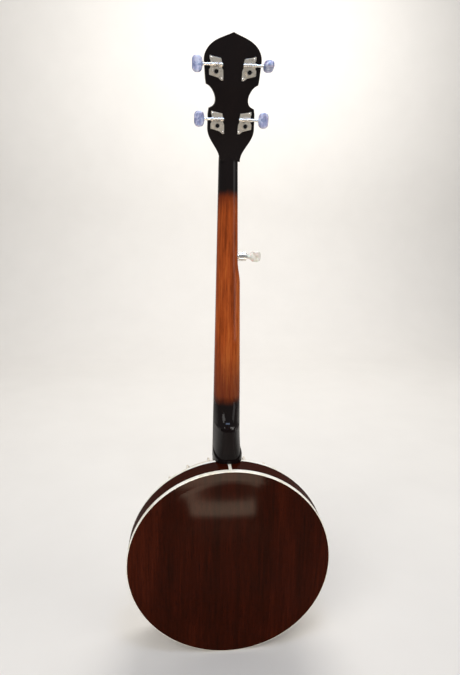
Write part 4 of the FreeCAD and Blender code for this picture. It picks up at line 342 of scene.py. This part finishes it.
# ---------------------------------------------------------------- finishes on the model's own pieces
mahogany = neck_finish()
rosewood = rosewood_finish()
nickel = plated_finish("nickel_plate", tint("E9E4DC"), tint("A79C8B"), 0.06, 0.24)
satin = plated_finish("satin_nickel", tint("F0E7D9"), tint("C0B297"), 0.22, 0.42,
                      brushed=(1500.0, 240.0, 240.0))
steel = plated_finish("steel", tint("B9B8B6"), tint("77736D"), 0.20, 0.40)
fret_metal = plated_finish("nickel_silver", tint("DAD5C8"), tint("A59E8C"), 0.14, 0.34,
                           brushed=(200.0, 1500.0, 1500.0))
wire = plated_finish("string_steel", tint("CFCBC4"), tint("8F887C"), 0.16, 0.34, edge=0.0001)
brass = plated_finish("bell_brass", tint("E2BE74"), tint("9C7436"), 0.12, 0.34, stain=0.5)
black_oxide = plated_finish("black_oxide", tint("2B2A2A"), tint("0F0F10"), 0.28, 0.5)
lacquer = plastic_finish("black_lacquer", tint("060607"), tint("0A0A0B"), tint("101012"), 40.0,
                         gloss=(0.08, 0.18), edge=0.0006, depth=0.00004)
black_plastic = plastic_finish("black_plastic", tint("0B0B0C"), tint("121213"), tint("1A1A1B"), 120.0,
                              gloss=(0.22, 0.38))
pearl = plastic_finish("pearl", tint("B9C9C4"), tint("F1ECE2"), tint("E3C9D2"), 420.0, gloss=(0.12, 0.22))
bone = plastic_finish("bone", tint("CDBE9B"), tint("E8DFC8"), tint("F3EDDD"), 260.0, gloss=(0.28, 0.45))
# The four tuner buttons are white pearloid; their blue tint and darker tones are painted shade and painted
# blue reflection.
painted_blue_pearloid_shade = plastic_finish("pearloid_blue", tint("6A7598"), tint("8D97B8"), tint("C6CDE2"), 210.0,
                               gloss=(0.12, 0.24), edge=0.0008, Subsurface_Weight=0.12)
cream_pearloid = plastic_finish("pearloid_cream", tint("BDB7A6"), tint("D6D1C4"), tint("ECE9E0"), 210.0,
                                gloss=(0.14, 0.26), edge=0.0008, Subsurface_Weight=0.12)
binding = plastic_finish("white_binding", tint("DDD6C0"), tint("F0ECE0"), tint("F8F6EE"), 60.0,
                         gloss=(0.18, 0.32), edge=0.0005)
film = plastic_finish("head_film", tint("D9D8D2"), tint("E6E5E0"), tint("F0EFEA"), 30.0,
                      gloss=(0.5, 0.66), edge=0.0004, depth=0.00025)

FINISHES = {
    mahogany: ["neck"],
    rosewood: ["fingerboard"],
    fret_metal: ["frets"],
    pearl: ["position_dots"],
    bone: ["string_nuts"],
    lacquer: ["peghead_overlay"],
    black_plastic: ["truss_rod_cover"],
    steel: ["truss_rod", "coordinator_rods", "pot_bolts", "fifth_peg_input"],
    satin: ["tuner_plates"] + [f"cog_{k}" for k in range(1, 5)],
    black_oxide: [f"cog_screw_{k}" for k in range(1, 5)],
    painted_blue_pearloid_shade: [f"tuner_button_{k}" for k in range(1, 5)],
    cream_pearloid: ["fifth_peg_button"],
    brass: ["tone_ring"] + [f"fifth_peg_planet_{k}" for k in range(1, 4)],
    film: ["head"],
    binding: ["resonator_bindings"],
    wire: ["strings"],
    resonator_finish("resonator_back_wood", False): ["resonator_back"],
    resonator_finish("resonator_side_wood", True): ["resonator_side"],
    maple_finish("rim_maple", around=True): ["rim"],
    maple_finish("bridge_maple", tip=bridge_low.y + 2.4 * MM): ["bridge"],
    nickel: [
        "wood_screws", "post_bushings", "fifth_peg_barrel", "fifth_peg_cap", "fifth_peg_spool",
        "tension_hoop",
        "hooks", "hook_nuts", "flange", "armrest", "resonator_lugs", "thumb_screws", "tailpiece_base",
        "tailpiece_cover", "tailpiece_pin", "tailpiece_bolt",
    ] + [f"{part}_{k}" for part in ("worm_shaft", "string_post") for k in range(1, 5)],
}
for finish, names in FINISHES.items():
    for name in names:
        paint(name, finish)


# ---------------------------------------------------------------- wound string ends
def wire_piece(name, points, radius, body):
    """A round wire through the points, riding on a body."""
    curve = bpy.data.curves.new(name, "CURVE")
    curve.dimensions = "3D"
    curve.bevel_depth = radius
    curve.bevel_resolution = 2
    curve.use_fill_caps = True
    spline = curve.splines.new("POLY")
    spline.points.add(len(points) - 1)
    for point, place in zip(spline.points, points):
        point.co = (*place, 1.0)
    spline.use_smooth = True
    curve.materials.append(wire.material)
    piece = bpy.data.objects.new(name, curve)
    bpy.context.scene.collection.objects.link(piece)
    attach(piece, body)
    return piece


def coil(centre, axis, start, radius, rise, turns, steps=20):
    """Points of a helix round an axis, starting along start, with a tail that dips into the barrel."""
    side = axis.cross(start)
    count = int(abs(turns) * steps)
    points = []
    for step in range(count + 1):
        along = step / count
        angle = 2.0 * math.pi * turns * along
        reach = radius * (1.0 - 0.18 * max(0.0, along * count - count + 4.0) / 4.0)
        spoke = start * math.cos(angle) + side * math.sin(angle)
        points.append(centre + axis * (rise * along) + spoke * reach)
    return points


joints = {joint["name"]: joint for joint in frame["joints"]}
STRING_RADII = (0.14 * MM, 0.16 * MM, 0.20 * MM, 0.27 * MM, 0.14 * MM)
POST_WAIST = 2.3 * MM
HOLE_ABOVE_COG = 27.9 * MM                      # string hole's height above the cog on the post's axis
TURN_PITCH = 2.15                               # spacing of wound turns, in string radii
SPOOL_START_X = -19.7 * MM
SPOOL_WAIST = 3.2 * MM
for index in range(4):
    joint = joints[f"string_post_turn_{index + 1}"]
    body = joint["child"]
    outward = -Vector(joint["axis"])
    hole = Vector(joint["pos_m"]) + outward * HOLE_ABOVE_COG
    inner = Vector((-1.0 if hole.x > 0 else 1.0, 0.0, 0.0))
    radius = STRING_RADII[index]
    turns = min(4.0, 1.25 * MM / (TURN_PITCH * radius))
    turns = math.floor(turns) + 0.6
    spin = turns if hole.x > 0 else -turns
    winding = coil(hole, outward, inner, POST_WAIST + radius, -TURN_PITCH * radius * turns, spin)
    wire_piece(f"string_winding_{index + 1}", winding, radius, body)
    flank = outward.cross(inner)
    stub = [hole - inner * 2.0 * MM, hole - inner * 3.4 * MM, hole - inner * 4.5 * MM + flank * 0.4 * MM,
            hole - inner * 5.1 * MM + flank * 1.2 * MM + outward * 0.3 * MM,
            hole - inner * 5.2 * MM + flank * 2.1 * MM + outward * 0.7 * MM]
    wire_piece(f"string_end_{index + 1}", stub, radius, body)

spool_joint = Vector(joints["fifth_spool_turn"]["pos_m"])
spool_start = Vector((SPOOL_START_X, spool_joint.y, spool_joint.z))
winding = coil(spool_start, Vector((-1.0, 0.0, 0.0)), Vector((0.0, -1.0, 0.0)),
               SPOOL_WAIST + STRING_RADII[4], 1.3 * MM, -3.6)
wire_piece("string_winding_5", winding, STRING_RADII[4], "fifth_spool")


# ---------------------------------------------------------------- loop ends on the tailpiece
lid_hinge = Vector(joints["tailpiece_lid_hinge"]["pos_m"])
tail_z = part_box("strings")[0].z
HOOK_SPACING = 4.6 * MM
BRIDGE_SPACING = 10.5 * MM
for index, radius in enumerate(STRING_RADII):
    hook = Vector(((2 - index) * HOOK_SPACING, lid_hinge.y + 3.7 * MM, tail_z + radius))
    bridge_z = (bridge_low.z + bridge_high.z) / 2.0
    crown = Vector(((2 - index) * BRIDGE_SPACING, bridge_low.y + radius, bridge_z))
    along = (crown - hook).normalized()
    flat = Vector((0.0, 1.0, 0.0)).cross(along).normalized()
    loop = []
    for step in range(25):
        angle = 2.0 * math.pi * step / 24
        reach = 0.55 * MM - 1.25 * MM * math.cos(angle)
        loop.append(hook + along * reach + flat * 1.1 * MM * math.sin(angle))
    wire_piece(f"string_loop_{index + 1}", loop, radius, "instrument")
    start = hook + along * 1.9 * MM
    twist = coil(start, along, flat, radius + 0.16 * MM, 9.5 * MM, 24.0, steps=10)
    wire_piece(f"string_twist_{index + 1}", twist, 0.12 * MM, "instrument")


# ---------------------------------------------------------------- stage
def staged(name, rows, material):
    """A smooth sheet swept across X from (y, z) rows."""
    half = 4.0
    mesh = bpy.data.meshes.new(name)
    places = [(side * half, y, z) for y, z in rows for side in (-1.0, 1.0)]
    faces = [(2 * k, 2 * k + 1, 2 * k + 3, 2 * k + 2) for k in range(len(rows) - 1)]
    mesh.from_pydata(places, [], faces)
    mesh.polygons.foreach_set("use_smooth", [True] * len(faces))
    mesh.materials.append(material)
    sheet = bpy.data.objects.new(name, mesh)
    bpy.context.scene.collection.objects.link(sheet)
    return sheet


paper = Finish("studio_paper", Specular_IOR_Level=0.1)
mottle = paper.noise(paper.place, scale=6.0, detail=5.0)
paper.colour(paper.ramp(mottle, (0.3, tint("DBD8D4")), (0.7, tint("DEDBD7"))))
paper.rough(paper.span(mottle, 0.3, 0.7, 0.75, 0.9))
floor_z = cad_box[0].z - 0.0005
SWEEP_START, SWEEP_RADIUS, SWEEP_TOP = -1.7, 0.9, 3.2
sweep = [(3.5, floor_z), (SWEEP_START, floor_z)]
for step in range(1, 13):
    angle = math.radians(7.5 * step)
    rise = SWEEP_RADIUS * (1.0 - math.cos(angle))
    sweep.append((SWEEP_START - SWEEP_RADIUS * math.sin(angle), floor_z + rise))
sweep.append((SWEEP_START - SWEEP_RADIUS, SWEEP_TOP))
staged("floor", sweep, paper.material)

world = bpy.data.worlds.new("studio")
bpy.context.scene.world = world
bpy.context.scene.view_settings.view_transform = "Standard"
world.use_nodes = True
world.node_tree.nodes["Background"].inputs["Color"].default_value = (0.96, 0.98, 1.0, 1.0)
world.node_tree.nodes["Background"].inputs["Strength"].default_value = 0.30


def softbox(name, place, target, width, height, energy, colour=(1.0, 0.98, 0.95)):
    light = bpy.data.lights.new(name, "AREA")
    light.shape = "RECTANGLE"
    light.size, light.size_y = width, height
    light.energy = energy
    light.color = colour
    lamp = bpy.data.objects.new(name, light)
    bpy.context.scene.collection.objects.link(lamp)
    lamp.location = place
    lamp.rotation_euler = (Vector(target) - Vector(place)).to_track_quat("-Z", "Y").to_euler()
    lamp.visible_camera = False
    return lamp


softbox("key", (1.0, 1.5, 0.9), (0.0, 0.0, -0.35), 1.3, 1.3, 26.0)
softbox("fill", (-1.5, 0.9, 0.0), (0.0, 0.0, -0.4), 1.0, 1.4, 9.0)
softbox("back_light", (-0.4, -0.9, 1.6), (0.0, -2.2, 0.0), 1.8, 1.2, 56.0)
softbox("low_window", (-0.02, 0.6, -0.79), (0.0, 0.09, -0.55), 0.24, 0.05, 0.6, (1.0, 0.80, 0.58))
softbox("sky_window", (-0.05, 0.45, 0.55), (0.0, 0.05, -0.43), 0.25, 0.25, 2.2, (0.50, 0.66, 1.0))

# ---------------------------------------------------------------- camera
camera_data = bpy.data.cameras.new("camera")
camera = bpy.data.objects.new("camera", camera_data)
bpy.context.scene.collection.objects.link(camera)
bpy.context.scene.camera = camera
camera_data.lens = 25.63
camera_data.sensor_width = 36.0
camera_data.clip_start, camera_data.clip_end = 0.02, 30.0
right = Vector((-0.99561475, 0.09290094, 0.01098585))
up = Vector((-0.00905536, -0.21259112, 0.97709929))
back = Vector((0.09310893, 0.97271498, 0.2125001))
CAMERA_PLACE = (0.06971, 0.77713, -0.13400)
turned = Matrix((right, up, back)).transposed().to_4x4()
camera.matrix_world = Matrix.Translation(CAMERA_PLACE) @ turned
